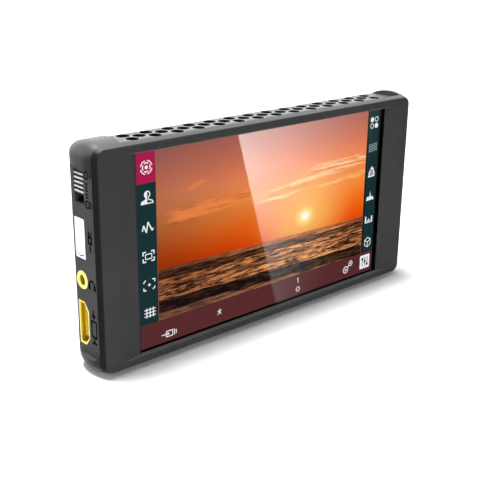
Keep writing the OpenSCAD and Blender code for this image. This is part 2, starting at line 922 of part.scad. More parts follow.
module lock_slider() {
    base_x = -panel_x + lock_ridge_h;
    ridge_pitch = (lock_cap_len - 2 * lock_ridge_margin) / lock_ridge_count;
    flange_x = -wall_in_x + slide_gap;
    color("gray")
    in_housing()
        translate([0, lock_depth, lock_cap_top - lock_cap_len]) {
            block([base_x, -lock_cap_w / 2, 0], [flange_x + eps, lock_cap_w / 2, lock_cap_len]);
            for (i = [0 : lock_ridge_count - 1])
                translate([base_x, 0, lock_ridge_margin + (i + 0.5) * ridge_pitch])
                    rotate([90, 0, 0])
                        linear_extrude(lock_cap_w, center = true)
                            polygon([
                                [eps, -lock_ridge_foot / 2], [-lock_ridge_h, -lock_ridge_top / 2],
                                [-lock_ridge_h, lock_ridge_top / 2], [eps, lock_ridge_foot / 2]
                            ]);
            block([flange_x, -lock_cap_w / 2 - lock_flange_side, -lock_flange_lap],
                [flange_x + lock_flange_t, lock_cap_w / 2 + lock_flange_side,
                    lock_cap_len + lock_flange_lap]);
            // Fork that holds the switch's knob
            for (side = [-1, 1])
                translate([0, 0, lock_cap_len / 2 + side * (knob_len / 2 + fork_t / 2 + fit_gap)])
                    block([flange_x, -fork_w / 2, -fork_t / 2],
                        [flange_x + lock_flange_t + fork_reach, fork_w / 2, fork_t / 2]);
        }
}

module lock_switch() {
    face = -wall_in_x + slide_gap + lock_flange_t + lock_switch_gap;
    end_gap = 2 * slide_gap;
    color("silver")
    in_housing()
        difference() {
            block([face, board_back, knob_z - 5], [face + 3.4, board_back + 4.2, knob_z + 3]);
            block([face - 1, lock_depth - knob_w / 2 - slide_gap,
                    knob_z - knob_len / 2 - lock_travel - end_gap],
                [face + lock_switch_set, lock_depth + knob_w / 2 + slide_gap,
                    knob_z + knob_len / 2 + end_gap]);
        }
}

module lock_switch_knob() {
    face = -wall_in_x + slide_gap + lock_flange_t;
    color("white")
    in_housing()
        block([face + 0.15, lock_depth - knob_w / 2, knob_z - knob_len / 2],
            [face + lock_switch_gap + lock_switch_set - 2 * slide_gap, lock_depth + knob_w / 2,
                knob_z + knob_len / 2]);
}

module usb_shell()
    color("gainsboro")
    in_housing()
        difference() {
            side_sheet(socket_x + plug_face_t, socket_x + usb_len)
                usb_outline(0);
            side_sheet(socket_x - 1, socket_x + usb_len - socket_wall)
                usb_outline(-socket_wall);
        }

module usb_tongue() {
    inner_end = socket_x + usb_len - socket_wall;
    color("white")
    in_housing() {
        side_sheet(inner_end - usb_tongue_back, inner_end)
            usb_outline(-socket_wall);
        translate([0, port_depth, usb_z])
            block([-panel_x + usb_tongue_set, -0.1, -usb_tongue_w / 2],
                [inner_end, usb_tongue_t - 0.1, usb_tongue_w / 2]);
    }
}

// The white plug that closes the USB socket, with a notch for a finger nail
module usb_dust_plug() {
    skirt_grow = -socket_wall - fit_gap;
    nail_z = usb_z - usb_w / 2 + nail_end_gap + nail_r;
    color("white")
    in_housing()
        difference() {
            union() {
                side_sheet(socket_x, socket_x + plug_face_t)
                    usb_outline(0);
                side_sheet(socket_x + plug_face_t - eps, socket_x + plug_skirt_len)
                    difference() {
                        usb_outline(skirt_grow);
                        usb_outline(skirt_grow - plug_skirt_t);
                    }
            }
            side_sheet(socket_x - 1, socket_x + nail_sink)
                translate([port_depth, nail_z])
                    difference() {
                        circle(nail_r);
                        translate([0, nail_line])
                            circle(nail_r);
                    }
        }
}

module jack_bush()
    color("gold")
    in_housing()
        translate([0, jack_depth, jack_z])
            rotate([0, 90, 0])
                rotate_extrude()
                    polygon([
                        [jack_bore_d / 2, -panel_x - jack_proud + 0.3],
                        [jack_bore_d / 2 + 0.3, -panel_x - jack_proud],
                        [jack_ring_d / 2 - 0.4, -panel_x - jack_proud],
                        [jack_ring_d / 2, -panel_x - jack_proud + 0.4],
                        [jack_ring_d / 2, jack_body_x],
                        [jack_bore_d / 2, jack_body_x]
                    ]);

module jack_body() {
    bore_end = -panel_x - jack_proud + jack_bore_len;
    color("gold")
    in_housing()
        translate([0, jack_depth, jack_z])
            difference() {
                block([jack_body_x, board_back - jack_depth, -jack_block / 2],
                    [bore_end + 0.8, jack_block / 2, jack_block / 2]);
                width_bar(jack_bore_d, jack_body_x - 1, bore_end);
            }
}

module hdmi_shell()
    color("gold")
    in_housing()
        difference() {
            side_sheet(socket_x, socket_x + hdmi_len)
                hdmi_outline(0);
            side_sheet(socket_x - 1, socket_x + hdmi_len - socket_wall)
                hdmi_outline(-socket_wall);
        }

module hdmi_tongue() {
    inner_end = socket_x + hdmi_len - socket_wall;
    color("goldenrod")
    in_housing() {
        side_sheet(inner_end - hdmi_tongue_back, inner_end)
            hdmi_outline(-socket_wall);
        translate([0, port_depth, hdmi_z])
            block([-panel_x + hdmi_tongue_set, 0.1, -hdmi_tongue_w / 2],
                [inner_end, hdmi_tongue_t + 0.1, hdmi_tongue_w / 2]);
    }
}

// ---- Right side: power button and socket -------------------------------------

module power_button() {
    flange_x = wall_in_x - slide_gap;
    top_x = panel_x + button_proud;
    color("dimgray")
    in_housing()
        translate([0, button_depth, button_z])
            rotate([0, 90, 0])
                rotate_extrude()
                    polygon([
                        [0, flange_x - button_flange_t], [button_flange_d / 2, flange_x - button_flange_t],
                        [button_flange_d / 2, flange_x], [button_d / 2, flange_x],
                        [button_d / 2, top_x - 0.3], [button_d / 2 - 0.3, top_x],
                        [button_d / 2 - 1.2, top_x], [button_d / 2 - 1.5, top_x - 0.25], [0, top_x - 0.3]
                    ]);
}

module power_switch()
    color("silver")
    in_housing()
        translate([0, button_depth, button_z])
            difference() {
                block([switch_face - switch_len, board_back - button_depth, -switch_side / 2],
                    [switch_face, switch_side / 2, switch_side / 2]);
                width_bar(plunger_d + 2 * slide_gap, switch_face - plunger_in, switch_face + 1);
            }

module power_switch_plunger()
    color("black")
    in_housing()
        translate([0, button_depth, button_z])
            width_bar(plunger_d, switch_face - plunger_in + button_travel + slide_gap,
                wall_in_x - slide_gap - button_flange_t);

module dc_socket()
    color("black")
    in_housing()
        translate([0, dc_depth, dc_z])
            difference() {
                block([wall_in_x - dc_len, board_back - dc_depth, -dc_block / 2],
                    [wall_in_x - fit_gap / 2, dc_block / 2, dc_block / 2]);
                width_bar(dc_bore_d, dc_floor_x, wall_in_x + 1);
            }

module dc_pin()
    color("gold")
    in_housing()
        translate([0, dc_depth, dc_z])
            rotate([0, 90, 0])
                rotate_extrude()
                    polygon([
                        [0, dc_floor_x], [dc_pin_d / 2, dc_floor_x],
                        [dc_pin_d / 2, wall_in_x - 1], [dc_pin_d / 2 - 0.5, wall_in_x - 0.5],
                        [0, wall_in_x - 0.5]
                    ]);

// ---- Base --------------------------------------------------------------------

module tripod_insert()
    color("silver")
        rotate_extrude()
            polygon([
                [tripod_bore_d / 2, 0], [insert_d / 2, 0], [insert_d / 2, insert_len],
                [0, insert_len], [0, tripod_bore_len], [tripod_bore_d / 2, tripod_bore_len]
            ]);

// ---- Battery plate -------------------------------------------------------------

module rail(side)
    for (z = rail_places)
        translate([side * rail_span / 2, shell_d + plate_t, z])
            mirror([side < 0 ? 1 : 0, 0, 0])
                linear_extrude(rail_len, center = true)
                    polygon([
                        [-rail_stem, -eps], [0, -eps], [0, rail_h - rail_cap_t],
                        [rail_lip, rail_h - rail_cap_t], [rail_lip, rail_h - 0.3],
                        [rail_lip - 0.3, rail_h], [-rail_stem + 0.3, rail_h],
                        [-rail_stem, rail_h - 0.3]
                    ]);

module battery_plate()
    color("dimgray")
    in_housing()
        difference() {
            union() {
                sheet(shell_d, shell_d + plate_t)
                    rounded_rect(plate_w, plate_h, plate_r);
                rail(1);
                rail(-1);
            }
            // Shallow field between the rails
            sheet(shell_d + plate_t - plate_field_t, shell_d + plate_t + 1)
                rounded_rect(rail_span - 2 * rail_stem - 3, plate_field_h, 2);
            at_corners(plate_screw_x, plate_screw_z) {
                depth_bar(clear_hole_d, shell_d - 1, shell_d + plate_t + 1);
                depth_bar(head_d + 0.3, shell_d + plate_t - head_t - 0.2, shell_d + plate_t + 1);
            }
            translate([0, 0, latch_z])
                sheet(shell_d - 1, shell_d + plate_t + 1)
                    square([latch_w + 2 * slide_gap, latch_h + 2 * slide_gap], center = true);
            translate([0, 0, terminal_z])
                sheet(shell_d - 1, shell_d + plate_t + 1)
                    square([terminal_w + 2 * fit_gap, terminal_h + 2 * fit_gap], center = true);
        }

module plate_screws()
    color("silver")
    in_housing()
        at_corners(plate_screw_x, plate_screw_z)
            back_screw(shell_d + plate_t - head_t - 0.2, plate_screw_len, head_t, head_d);

module battery_terminal()
    color("black")
    in_housing()
        translate([0, 0, terminal_z])
            difference() {
                union() {
                    sheet(shell_d, shell_d + plate_t + terminal_proud)
                        square([terminal_w, terminal_h], center = true);
                    sheet(cavity_back + 0.2, shell_d + eps)
                        square([terminal_neck_w, terminal_neck_h], center = true);
                }
                for (i = [0 : blade_count - 1])
                    translate([(i - (blade_count - 1) / 2) * blade_gap, 0, 0]) {
                        // Slot, open to the back and to the top, where a battery's contacts come in
                        block([-1.1, shell_d + plate_t + 0.4, -terminal_h / 2 + 1],
                            [1.1, shell_d + plate_t + terminal_proud + 1, terminal_h]);
                        block([-blade_w / 2 - fit_gap, cavity_back - 1, -blade_h / 2 - fit_gap],
                            [blade_w / 2 + fit_gap, shell_d + plate_t + 1, blade_h / 2 + fit_gap]);
                    }
            }

module battery_contacts()
    color("gold")
    in_housing()
        translate([0, 0, terminal_z])
            for (i = [0 : blade_count - 1])
                translate([(i - (blade_count - 1) / 2) * blade_gap, 0, 0])
                    block([-blade_w / 2, blade_front, -blade_h / 2],
                        [blade_w / 2, shell_d + plate_t + terminal_proud - 0.5, blade_h / 2]);

// Two short leads from the outer contacts to the board
module battery_leads()
    color("firebrick")
    in_housing()
        for (side = [-1, 1])
            translate([side * blade_gap, 0, terminal_z])
                depth_bar(lead_d, board_back, blade_front);

module battery_latch() {
    back = shell_d + plate_t + latch_proud;
    color("dimgray")
    in_housing()
        translate([0, 0, latch_z]) {
            rotate([90, 0, 90])
                linear_extrude(latch_w, center = true)
                    polygon([
                        [shell_d - latch_flange_t, -latch_h / 2], [back, -latch_h / 2],
                        [back, 0], [shell_d + plate_t + 0.4, latch_h / 2],
                        [shell_d - latch_flange_t, latch_h / 2]
                    ]);
            sheet(shell_d - latch_flange_t, shell_d - slide_gap)
                square([latch_w + 2 * latch_flange, latch_h + 2 * latch_flange], center = true);
        }
}

// One ring of the spring's wire at angle a round the spring and height h along it
function ring_points(a, h) = [
    for (k = [0 : 5])
        let (r = spring_d / 2 - spring_wire / 2 + spring_wire / 2 * cos(60 * k))
            [r * cos(a), r * sin(a), h + spring_wire / 2 * sin(60 * k)]
];

module latch_spring() {
    steps = 12 * spring_turns;
    length = spring_space - spring_wire;
    points = [
        for (i = [0 : steps])
            each ring_points(30 * i, spring_wire / 2 + length * i / steps)
    ];
    faces = concat(
        [[for (k = [0 : 5]) k]],
        [for (i = [0 : steps - 1]) for (k = [0 : 5])
            [6 * i + k, 6 * (i + 1) + k, 6 * (i + 1) + (k + 1) % 6, 6 * i + (k + 1) % 6]],
        [[for (k = [5 : -1 : 0]) 6 * steps + k]]
    );
    color("silver")
    in_housing()
        translate([0, shell_d - latch_flange_t - spring_space, latch_z])
            rotate([-90, 0, 0])
                polyhedron(points, faces);
}

module case_screws()
    color("silver")
    in_housing()
        at_corners(column_x, column_z)
            back_screw(shell_d - head_sink, case_screw_len, head_t, head_d);

front_frame();
rear_shell();
touch_glass();
glass_tape();
cell_gasket();
lcd_cell();
backlight();
screen_bracket();
bracket_screws();
display_flex();
touch_flex();
main_board();
board_screws();
board_chips();
thermal_pad();
heat_sink();
lock_slider();
lock_switch();
lock_switch_knob();
usb_shell();
usb_tongue();
usb_dust_plug();
jack_bush();
jack_body();
hdmi_shell();
hdmi_tongue();
power_button();
power_switch();
power_switch_plunger();
dc_socket();
dc_pin();
tripod_insert();
battery_plate();
plate_screws();
battery_terminal();
battery_contacts();
battery_leads();
battery_latch();
latch_spring();
case_screws();
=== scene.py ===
import math
import bmesh
import bpy
from mathutils import Matrix, Vector


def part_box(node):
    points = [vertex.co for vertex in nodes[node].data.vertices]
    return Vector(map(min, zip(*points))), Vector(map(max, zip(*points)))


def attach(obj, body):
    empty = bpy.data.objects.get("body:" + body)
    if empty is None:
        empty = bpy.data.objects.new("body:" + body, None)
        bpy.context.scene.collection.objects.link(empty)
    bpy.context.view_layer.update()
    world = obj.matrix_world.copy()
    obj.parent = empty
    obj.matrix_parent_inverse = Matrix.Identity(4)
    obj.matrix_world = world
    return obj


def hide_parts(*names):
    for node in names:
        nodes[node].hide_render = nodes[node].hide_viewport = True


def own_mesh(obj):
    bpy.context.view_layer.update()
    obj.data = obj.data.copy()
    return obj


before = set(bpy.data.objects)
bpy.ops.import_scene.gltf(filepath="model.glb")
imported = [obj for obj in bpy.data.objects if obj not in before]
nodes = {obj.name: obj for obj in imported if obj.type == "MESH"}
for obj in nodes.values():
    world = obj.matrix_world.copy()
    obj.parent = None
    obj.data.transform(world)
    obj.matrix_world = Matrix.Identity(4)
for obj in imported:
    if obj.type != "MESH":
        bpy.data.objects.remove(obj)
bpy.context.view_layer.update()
mm = 0.001
print("frame loaded:", len(nodes), "nodes")

# the housing's own measures, read from the frame
glassLow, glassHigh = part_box("touch_glass")
midX = (glassLow.x + glassHigh.x) / 2
midZ = (glassLow.z + glassHigh.z) / 2
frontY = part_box("front_frame")[0].y
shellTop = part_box("rear_shell")[1].z
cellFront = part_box("lcd_cell")[0].y
plugProud = 0.15 * mm                              # the dust plug stands this far out of the port panel
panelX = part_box("usb_dust_plug")[0].x + plugProud

black, white = (0.0, 0.0, 0.0), (1.0, 1.0, 1.0)


def grey(level):
    return (level, level, level)


def tone(red, green, blue):
    # a colour as a screen shows it, turned into the linear values that sockets take
    return tuple(((part / 255 + 0.055) / 1.055) ** 2.4 for part in (red, green, blue))


class Wire:
    # a socket with plain values that can be added and multiplied; colours go through Paint.mix
    def __init__(self, paint, socket):
        self.paint, self.socket = paint, socket

    def math(self, operation, *others, clamp=False):
        values = dict(enumerate((self,) + others))
        return self.paint.add("Math", {"operation": operation, "use_clamp": clamp}, values)

    def __add__(self, other):
        return self.math("ADD", other)

    def __radd__(self, other):
        return self.math("ADD", other)

    def __sub__(self, other):
        return self.math("SUBTRACT", other)

    def __rsub__(self, other):
        return self.paint.add("Math", {"operation": "SUBTRACT"}, {0: other, 1: self})

    def __mul__(self, other):
        return self.math("MULTIPLY", other)

    def __rmul__(self, other):
        return self.math("MULTIPLY", other)

    def __truediv__(self, other):
        return self.math("DIVIDE", other)

    def __rtruediv__(self, other):
        return self.paint.add("Math", {"operation": "DIVIDE"}, {0: other, 1: self})

    def __pow__(self, other):
        return self.math("POWER", other)

    def __neg__(self):
        return self.math("MULTIPLY", -1.0)

    def __abs__(self):
        return self.math("ABSOLUTE")

    def above(self, other):
        return self.math("GREATER_THAN", other)

    def below(self, other):
        return self.math("LESS_THAN", other)

    def ramp(self, low, high, first=0.0, last=1.0, smooth=True):
        kind = "SMOOTHSTEP" if smooth else "LINEAR"
        return self.paint.add("MapRange", {"interpolation_type": kind},
                              {0: self, 1: low, 2: high, 3: first, 4: last})


class Paint:
    # one material, or another owner of nodes, with the shader that its values go to
    def __init__(self, name, owner=None, shader="Principled BSDF", **sockets):
        self.material = owner or bpy.data.materials.new(name)
        self.material.use_nodes = True
        self.tree = self.material.node_tree
        self.shader = self.tree.nodes[shader]
        for socket, value in sockets.items():
            self.set(socket.replace("_", " "), value)

    def plug(self, socket, value):
        if isinstance(value, Wire):
            self.tree.links.new(value.socket, socket)
        elif isinstance(value, (tuple, list)) and len(value) == 3 and socket.type == "RGBA":
            socket.default_value = (*value, 1.0)
        else:
            socket.default_value = value

    def add(self, kind, settings=None, values=None, output=0):
        node = self.tree.nodes.new("ShaderNode" + kind)
        for name, value in (settings or {}).items():
            if name == "stops":
                self.setStops(node.color_ramp, value)
            else:
                setattr(node, name, value)
        for key, value in (values or {}).items():
            self.plug(node.inputs[key], value)
        return Wire(self, node.outputs[output])

    def setStops(self, ramp, stops):
        while len(ramp.elements) > 1:
            ramp.elements.remove(ramp.elements[-1])
        for index, (place, colour) in enumerate(stops):
            stop = ramp.elements[0] if index == 0 else ramp.elements.new(place)
            stop.position = place
            stop.color = (*colour, 1.0)

    def set(self, socket, value):
        self.plug(self.shader.inputs[socket], value)

    def place(self):
        # the CAD meshes hold their place in their vertices, so this is metres in the frame
        return self.add("TexCoord", output=3)

    def parts(self, vector):
        split = self.add("SeparateXYZ", values={0: vector})
        return [Wire(self, split.socket.node.outputs[i]) for i in range(3)]

    def axes(self):
        return self.parts(self.place())

    def facing(self):
        # the way the surface faces, in the frame's own axes
        return self.parts(self.add("TexCoord", output=1))

    def noise(self, scale, detail=2.0, roughness=0.5, at=None, stretch=None):
        spot = at or self.place()
        if stretch:
            spot = self.add("Mapping", values={0: spot, 3: stretch})
        return self.add("TexNoise", {"noise_dimensions": "3D"},
                        {"Vector": spot, "Scale": scale, "Detail": detail, "Roughness": roughness})

    def mix(self, factor, first, second):
        return self.add("Mix", {"data_type": "RGBA"}, {0: factor, 6: first, 7: second}, output=2)

    def bump(self, height, strength, distance):
        values = {"Strength": strength, "Distance": distance, "Height": height}
        self.set("Normal", self.add("Bump", values=values))


mould = {
    "drift": 60.0, "mottle": 0.04,                 # scale and share of the slow drift in the tone
    "smoother": 0.04, "rougher": 0.05,             # how far the grain moves the roughness
    "bump": 0.35,                                  # strength of the grain's bump
}


def driftingTone(paint, colour):
    # a little darker and a little lighter than the colour, in wide soft patches
    drift = paint.noise(mould["drift"], 3.0)
    darker = tuple(c * (1 - mould["mottle"]) for c in colour)
    lighter = tuple(min(1.0, c * (1 + mould["mottle"])) for c in colour)
    return paint.mix(drift.ramp(0.35, 0.65), darker, lighter)


def erodedGrain(paint, roughness, grain, depth):
    # the fine grain of a spark-eroded mould, in the roughness and in the height
    grit = paint.noise(grain, 1.0)
    low, high = roughness - mould["smoother"], roughness + mould["rougher"]
    paint.set("Roughness", grit.ramp(0.3, 0.7, low, high))
    paint.bump(grit, mould["bump"], depth * mm)


def mouldedPlastic(name, colour, roughness, grain=9000.0, depth=0.02, gloss=0.5, paintedFlankShade=None):
    # the last argument paints shade on the faces that look sideways and to the front, darkening them
    # towards black
    paint = Paint(name, Specular_IOR_Level=gloss)
    base = driftingTone(paint, colour)
    if paintedFlankShade:
        nx, ny = paint.facing()[:2]
        turned = abs(nx) * paintedFlankShade["side"] - ny * paintedFlankShade["front"]
        base = paint.mix(turned.ramp(paintedFlankShade["start"], paintedFlankShade["end"]) * paintedFlankShade["share"], base, black)
    paint.set("Base Color", base)
    erodedGrain(paint, roughness, grain, depth)
    return paint.material


front = {
    "colour": 0.031, "gloss": 0.12, "roughness": 0.5, "grain": 12000.0, "depth": 0.006,
    "sides": 0.72,                                 # share of black, as painted shade, on the faces that look sideways
    "top": 0.085, "lip": 0.12,                     # painted light on the top faces, and a painted highlight at the opening's upper edge
    "openingTop": 33.25, "openingHalf": 58.5,      # the opening, from the middle of the screen
    "lipRise": 0.2,                                # the painted highlight lies this far over the opening
    "lipHalf": 0.12, "lipSoft": 0.3,               # from its middle to where it fades, and to its end
}


def framePlastic():
    # matt front, with painted shade round its sides, painted light along its top and a painted highlight
    # at the opening's upper edge
    paint = Paint("framePlastic", Specular_IOR_Level=front["gloss"])
    x, z = paint.axes()[::2]
    nx, ny, nz = paint.facing()
    base = driftingTone(paint, grey(front["colour"]))
    # painted shade on the faces that look sideways, painted light on the faces that look up
    base = paint.mix(abs(nx).ramp(0.45, 0.8) * front["sides"], base, black)
    base = paint.mix(nz.ramp(0.5, 0.95), base, grey(front["top"]))
    up = (z - midZ) / mm - front["openingTop"] - front["lipRise"]
    # a painted highlight along the opening's upper edge, on faces that look to the front
    lip = (1 - abs(up).ramp(front["lipHalf"], front["lipSoft"])) * (-ny).ramp(0.3, 0.9)
    lip = lip * abs((x - midX) / mm).below(front["openingHalf"])
    paint.set("Base Color", paint.mix(lip, base, grey(front["lip"])))
    erodedGrain(paint, front["roughness"], front["grain"], front["depth"])
    return paint.material


def socketPlastic(name, lip, shadedInside, start, end, roughness=0.35):
    # bright at the lip, with painted shade making it darker inside: start and end are depths in mm behind
    # the socket's face
    paint = Paint(name, Roughness=roughness)
    depth = (paint.axes()[0] - panelX) / mm
    dirt = paint.noise(700.0, 3.0)
    inner = paint.mix(dirt.ramp(0.3, 0.7), tuple(c * 0.8 for c in shadedInside), shadedInside)
    paint.set("Base Color", paint.mix(depth.ramp(start, end), lip, inner))
    paint.bump(paint.noise(5000.0, 1.0), 0.2, 0.005 * mm)
    return paint.material


def satinMetal(name, colour, roughness, stretch=(1.0, 1.0, 1.0), scale=2500.0):
    # rolled or turned metal: fine lines along one direction
    paint = Paint(name, Metallic=1.0)
    lines = paint.noise(scale, 2.0, stretch=stretch)
    worn = tuple(c * 0.82 for c in colour)
    paint.set("Base Color", paint.mix(lines.ramp(0.3, 0.7), worn, colour))
    paint.set("Roughness", lines.ramp(0.3, 0.7, roughness - 0.06, roughness + 0.08))
    paint.bump(lines, 0.2, 0.01 * mm)
    return paint.material


def softRubber(name, colour):
    paint = Paint(name, Specular_IOR_Level=0.3)
    skin = paint.noise(4000.0, 3.0)
    paint.set("Base Color", paint.mix(skin.ramp(0.3, 0.7), tuple(c * 0.85 for c in colour), colour))
    paint.set("Roughness", skin.ramp(0.3, 0.7, 0.62, 0.75))
    paint.bump(skin, 0.3, 0.02 * mm)
    return paint.material


def boardFinish():
    # solder mask over fine tracks
    paint = Paint("boardGreen", Coat_Weight=0.4, Coat_Roughness=0.15)
    cells = paint.add("TexVoronoi", {"feature": "DISTANCE_TO_EDGE", "distance": "MANHATTAN"},
                      {"Vector": paint.place(), "Scale": 420.0})
    track = cells.below(0.06)
    paint.set("Base Color", paint.mix(track, (0.008, 0.07, 0.03), (0.02, 0.15, 0.06)))
    paint.set("Roughness", track.ramp(0, 1, 0.45, 0.35))
    paint.bump(track, 0.4, 0.03 * mm)
    return paint.material


def ribbonFinish():
    # copper lanes under an amber film
    paint = Paint("amberRibbon", Coat_Weight=0.5, Coat_Roughness=0.2)
    lanes = (paint.axes()[0] * 4200.0).math("SINE").above(0.2)
    paint.set("Base Color", paint.mix(lanes, (0.45, 0.2, 0.03), (0.62, 0.32, 0.06)))
    paint.set("Roughness", lanes.ramp(0, 1, 0.4, 0.3))
    return paint.material


def glassFinish():
    # clear glass: what lies behind it shows, and it mirrors the glare card
    paint = Paint("touchGlass", Base_Color=white, Roughness=0.0, IOR=1.5, Transmission_Weight=1.0)
    return paint.material


finishes = {
    # the housing gets painted shade on its faces that look sideways and to the front
    "housing": mouldedPlastic("housingPlastic", (0.046, 0.046, 0.047), 0.5, grain=3200.0, depth=0.05,
                              paintedFlankShade={"side": 0.7, "front": 0.7, "start": 0.72, "end": 0.86, "share": 0.7}),
    "frame": framePlastic(),
    "plate": mouldedPlastic("platePlastic", (0.03, 0.03, 0.032), 0.5),
    "button": mouldedPlastic("buttonPlastic", (0.045, 0.045, 0.047), 0.4, grain=12000.0),
    "tape": mouldedPlastic("blackTape", grey(0.004), 0.5),
    "gasket": softRubber("gasketFoam", grey(0.006)),
    "cell": mouldedPlastic("cellBack", (0.01, 0.01, 0.012), 0.3, depth=0.002),
    "lightGuide": mouldedPlastic("lightGuide", grey(0.8), 0.4),
    "sheet": satinMetal("pressedSheet", (0.62, 0.62, 0.63), 0.32, stretch=(0.05, 1.0, 1.0)),
    "screw": satinMetal("screwSteel", (0.12, 0.12, 0.13), 0.35),
    "ribbon": ribbonFinish(),
    "board": boardFinish(),
    "chip": mouldedPlastic("chipBlack", (0.02, 0.02, 0.022), 0.45),
    "pad": softRubber("padGrey", (0.5, 0.53, 0.57)),
    "sink": satinMetal("sinkAluminium", (0.75, 0.75, 0.76), 0.35, stretch=(1.0, 1.0, 0.05)),
    # slider, sockets and dust plug: the lip tone, then painted shade deeper in
    "slider": socketPlastic("sliderGrey", grey(0.6), grey(0.015), 0.0, 0.45),
    # the vent rims are a lighter grey than the housing, as a painted highlight
    "ventRimHighlight": mouldedPlastic("ventRimHighlight", grey(0.2), 0.35, grain=12000.0, depth=0.004),
    "switch": satinMetal("switchMetal", grey(0.6), 0.3),
    "knob": mouldedPlastic("knobWhite", (0.8, 0.8, 0.78), 0.4),
    "nickel": satinMetal("socketNickel", grey(0.92), 0.2, stretch=(0.05, 1.0, 1.0)),
    "white": socketPlastic("socketWhite", grey(0.85), grey(0.03), -0.13, 0.0),
    "jackRing": socketPlastic("jackYellow", (0.95, 0.87, 0.2), (0.42, 0.26, 0.01), 0.0, 0.6),
    "jackBody": mouldedPlastic("jackOchre", (0.4, 0.22, 0.005), 0.4),
    "videoRim": socketPlastic("videoYellow", (0.95, 0.87, 0.2), (0.5, 0.3, 0.012), 0.0, 0.5),
    "videoCore": mouldedPlastic("videoOchre", (0.5, 0.3, 0.012), 0.4),
    "plunger": mouldedPlastic("plungerBlack", grey(0.02), 0.4),
    "socketBlack": mouldedPlastic("socketBlack", grey(0.012), 0.4),
    "brass": satinMetal("contactBrass", (0.9, 0.68, 0.3), 0.25),
    "insert": satinMetal("insertSteel", (0.65, 0.65, 0.66), 0.25, stretch=(1.0, 1.0, 0.05)),
    "lead": softRubber("leadRed", (0.55, 0.03, 0.03)),
    "spring": satinMetal("springSteel", (0.55, 0.55, 0.56), 0.25),
    "glass": glassFinish(),
}

nodeFinish = {
    "front_frame": "frame", "rear_shell": "housing", "touch_glass": "glass", "glass_tape": "tape",
    "cell_gasket": "gasket", "lcd_cell": "cell", "backlight": "lightGuide", "screen_bracket": "sheet",
    "bracket_screws": "screw", "display_flex": "ribbon", "touch_flex": "ribbon",
    "main_board": "board", "board_screws": "screw", "board_chips": "chip", "thermal_pad": "pad",
    "heat_sink": "sink", "lock_slider": "slider", "lock_switch": "switch",
    "lock_switch_knob": "knob", "usb_shell": "nickel", "usb_tongue": "white", "usb_dust_plug": "white",
    "jack_bush": "jackRing", "jack_body": "jackBody", "hdmi_shell": "videoRim",
    "hdmi_tongue": "videoCore", "power_button": "button", "power_switch": "switch",
    "power_switch_plunger": "plunger", "dc_socket": "socketBlack", "dc_pin": "brass",
    "tripod_insert": "insert", "battery_plate": "plate", "plate_screws": "screw",
    "battery_terminal": "socketBlack", "battery_contacts": "brass", "battery_leads": "lead",
    "battery_latch": "button", "latch_spring": "spring", "case_screws": "screw",
}

for name, node in nodes.items():
    finish = finishes[nodeFinish[name]]
    if not node.material_slots:
        node.data.materials.append(finish)
    for materialSlot in node.material_slots:
        materialSlot.material = finish
print("finishes on the nodes:", len(finishes))


# the lit picture is a thin slab on the cell's front, with a menu along three sides
picture = {
    "width": 115.2, "height": 66.1,                # lit area
    "border": 0.7,                                 # unlit border at its left edge
    "leftMenu": 7.9, "rightMenu": 6.9,             # widths of the two menu columns
    "barHeight": 8.4,                              # bar along the bottom
    "slab": 0.02,                                  # thickness of the lit slab
    "pinkCell": 10.1,                              # height of the chosen cell, top left
    "line": 0.2, "shade": 0.8,                     # light and dark lines beside the picture
}


def emitter(name, colour, strength=1.0):
    paint = Paint(name, Base_Color=black, Roughness=1.0, Specular_IOR_Level=0.0)
    paint.set("Emission Color", colour)
    paint.set("Emission Strength", strength)
    return paint.material


# an evening sea, with places in mm across and up from the middle of the screen
dusk = {
    "sunX": 17.9, "sunZ": -2.2, "disc": (1.1, 1.9),     # the sun, and where its disc fades
    "halo": 5.5, "glow": 25.0, "glowWide": 1.3,         # reach of the halo and of the wider glow
    "horizon": -7.95, "tilt": 0.0235,                   # the horizon falls a little to the right
    "skyHeight": 40.0,                                  # from the horizon to the last sky tone
    "cloudAngle": 9.0, "cloudStretch": (0.13, 1.0, 1.9),
    "waveAngle": 2.0, "waveTilt": 0.03,                 # lines of waves run down to the right
    "swell": -10.75, "trough": -14.8,                   # heights of the dark lines in the water
    "breaker": -21.3, "foam": -23.5,
}
# banks of cloud: height at the middle and rise to the right, half height and soft edge, and the
# stretches over which the left and the right end fade in
clouds = {
    "west": {"height": 12.3, "rise": 0.06, "half": 1.2, "soft": 2.6,
             "ends": ((-48.0, -41.0), (-4.0, -14.0))},
    "tuft": {"height": 29.0, "rise": 0.3, "half": 0.2, "soft": 1.3,
             "ends": ((-39.0, -35.0), (-27.0, -31.0))},
    "low": {"height": 6.1, "rise": 0.06, "half": 0.3, "soft": 1.4, "ends": ((20.0, 30.0),)},
}
skyTones = [(0.0, tone(238, 74, 8)), (0.2, tone(255, 112, 22)), (0.42, tone(254, 148, 60)),
            (0.62, tone(252, 142, 84)), (0.8, tone(220, 120, 84)), (1.0, tone(184, 104, 86))]


def band(up, centre, half, soft):
    # 1 within half of the centre's height, then down to 0 over the soft part
    return 1 - abs(up - centre).ramp(half, half + soft)


def streaks(paint, scale, detail, roughness, angle, stretch):
    # noise drawn out along lines that slope by the angle
    turn = (0.0, math.radians(angle), 0.0)
    slope = paint.add("Mapping", values={0: paint.place(), 2: turn, 3: stretch})
    return paint.noise(scale, detail, roughness, at=slope)


def duskSky(paint, across, above):
    # orange over the horizon, paler above, with the night coming in from the left
    drift = paint.noise(30.0, 3.0)
    height = (above + (drift - 0.5) * 4.0).ramp(0.0, dusk["skyHeight"], smooth=False)
    sky = paint.add("ValToRGB", {"stops": skyTones}, {0: height})
    west = across.ramp(8.0, -52.0, smooth=False)
    night = paint.mix(above.ramp(0.0, 30.0), tone(46, 4, 4), tone(80, 72, 82))
    return paint.mix(west * above.ramp(0.0, 34.0, 0.68, 0.5), sky, night)


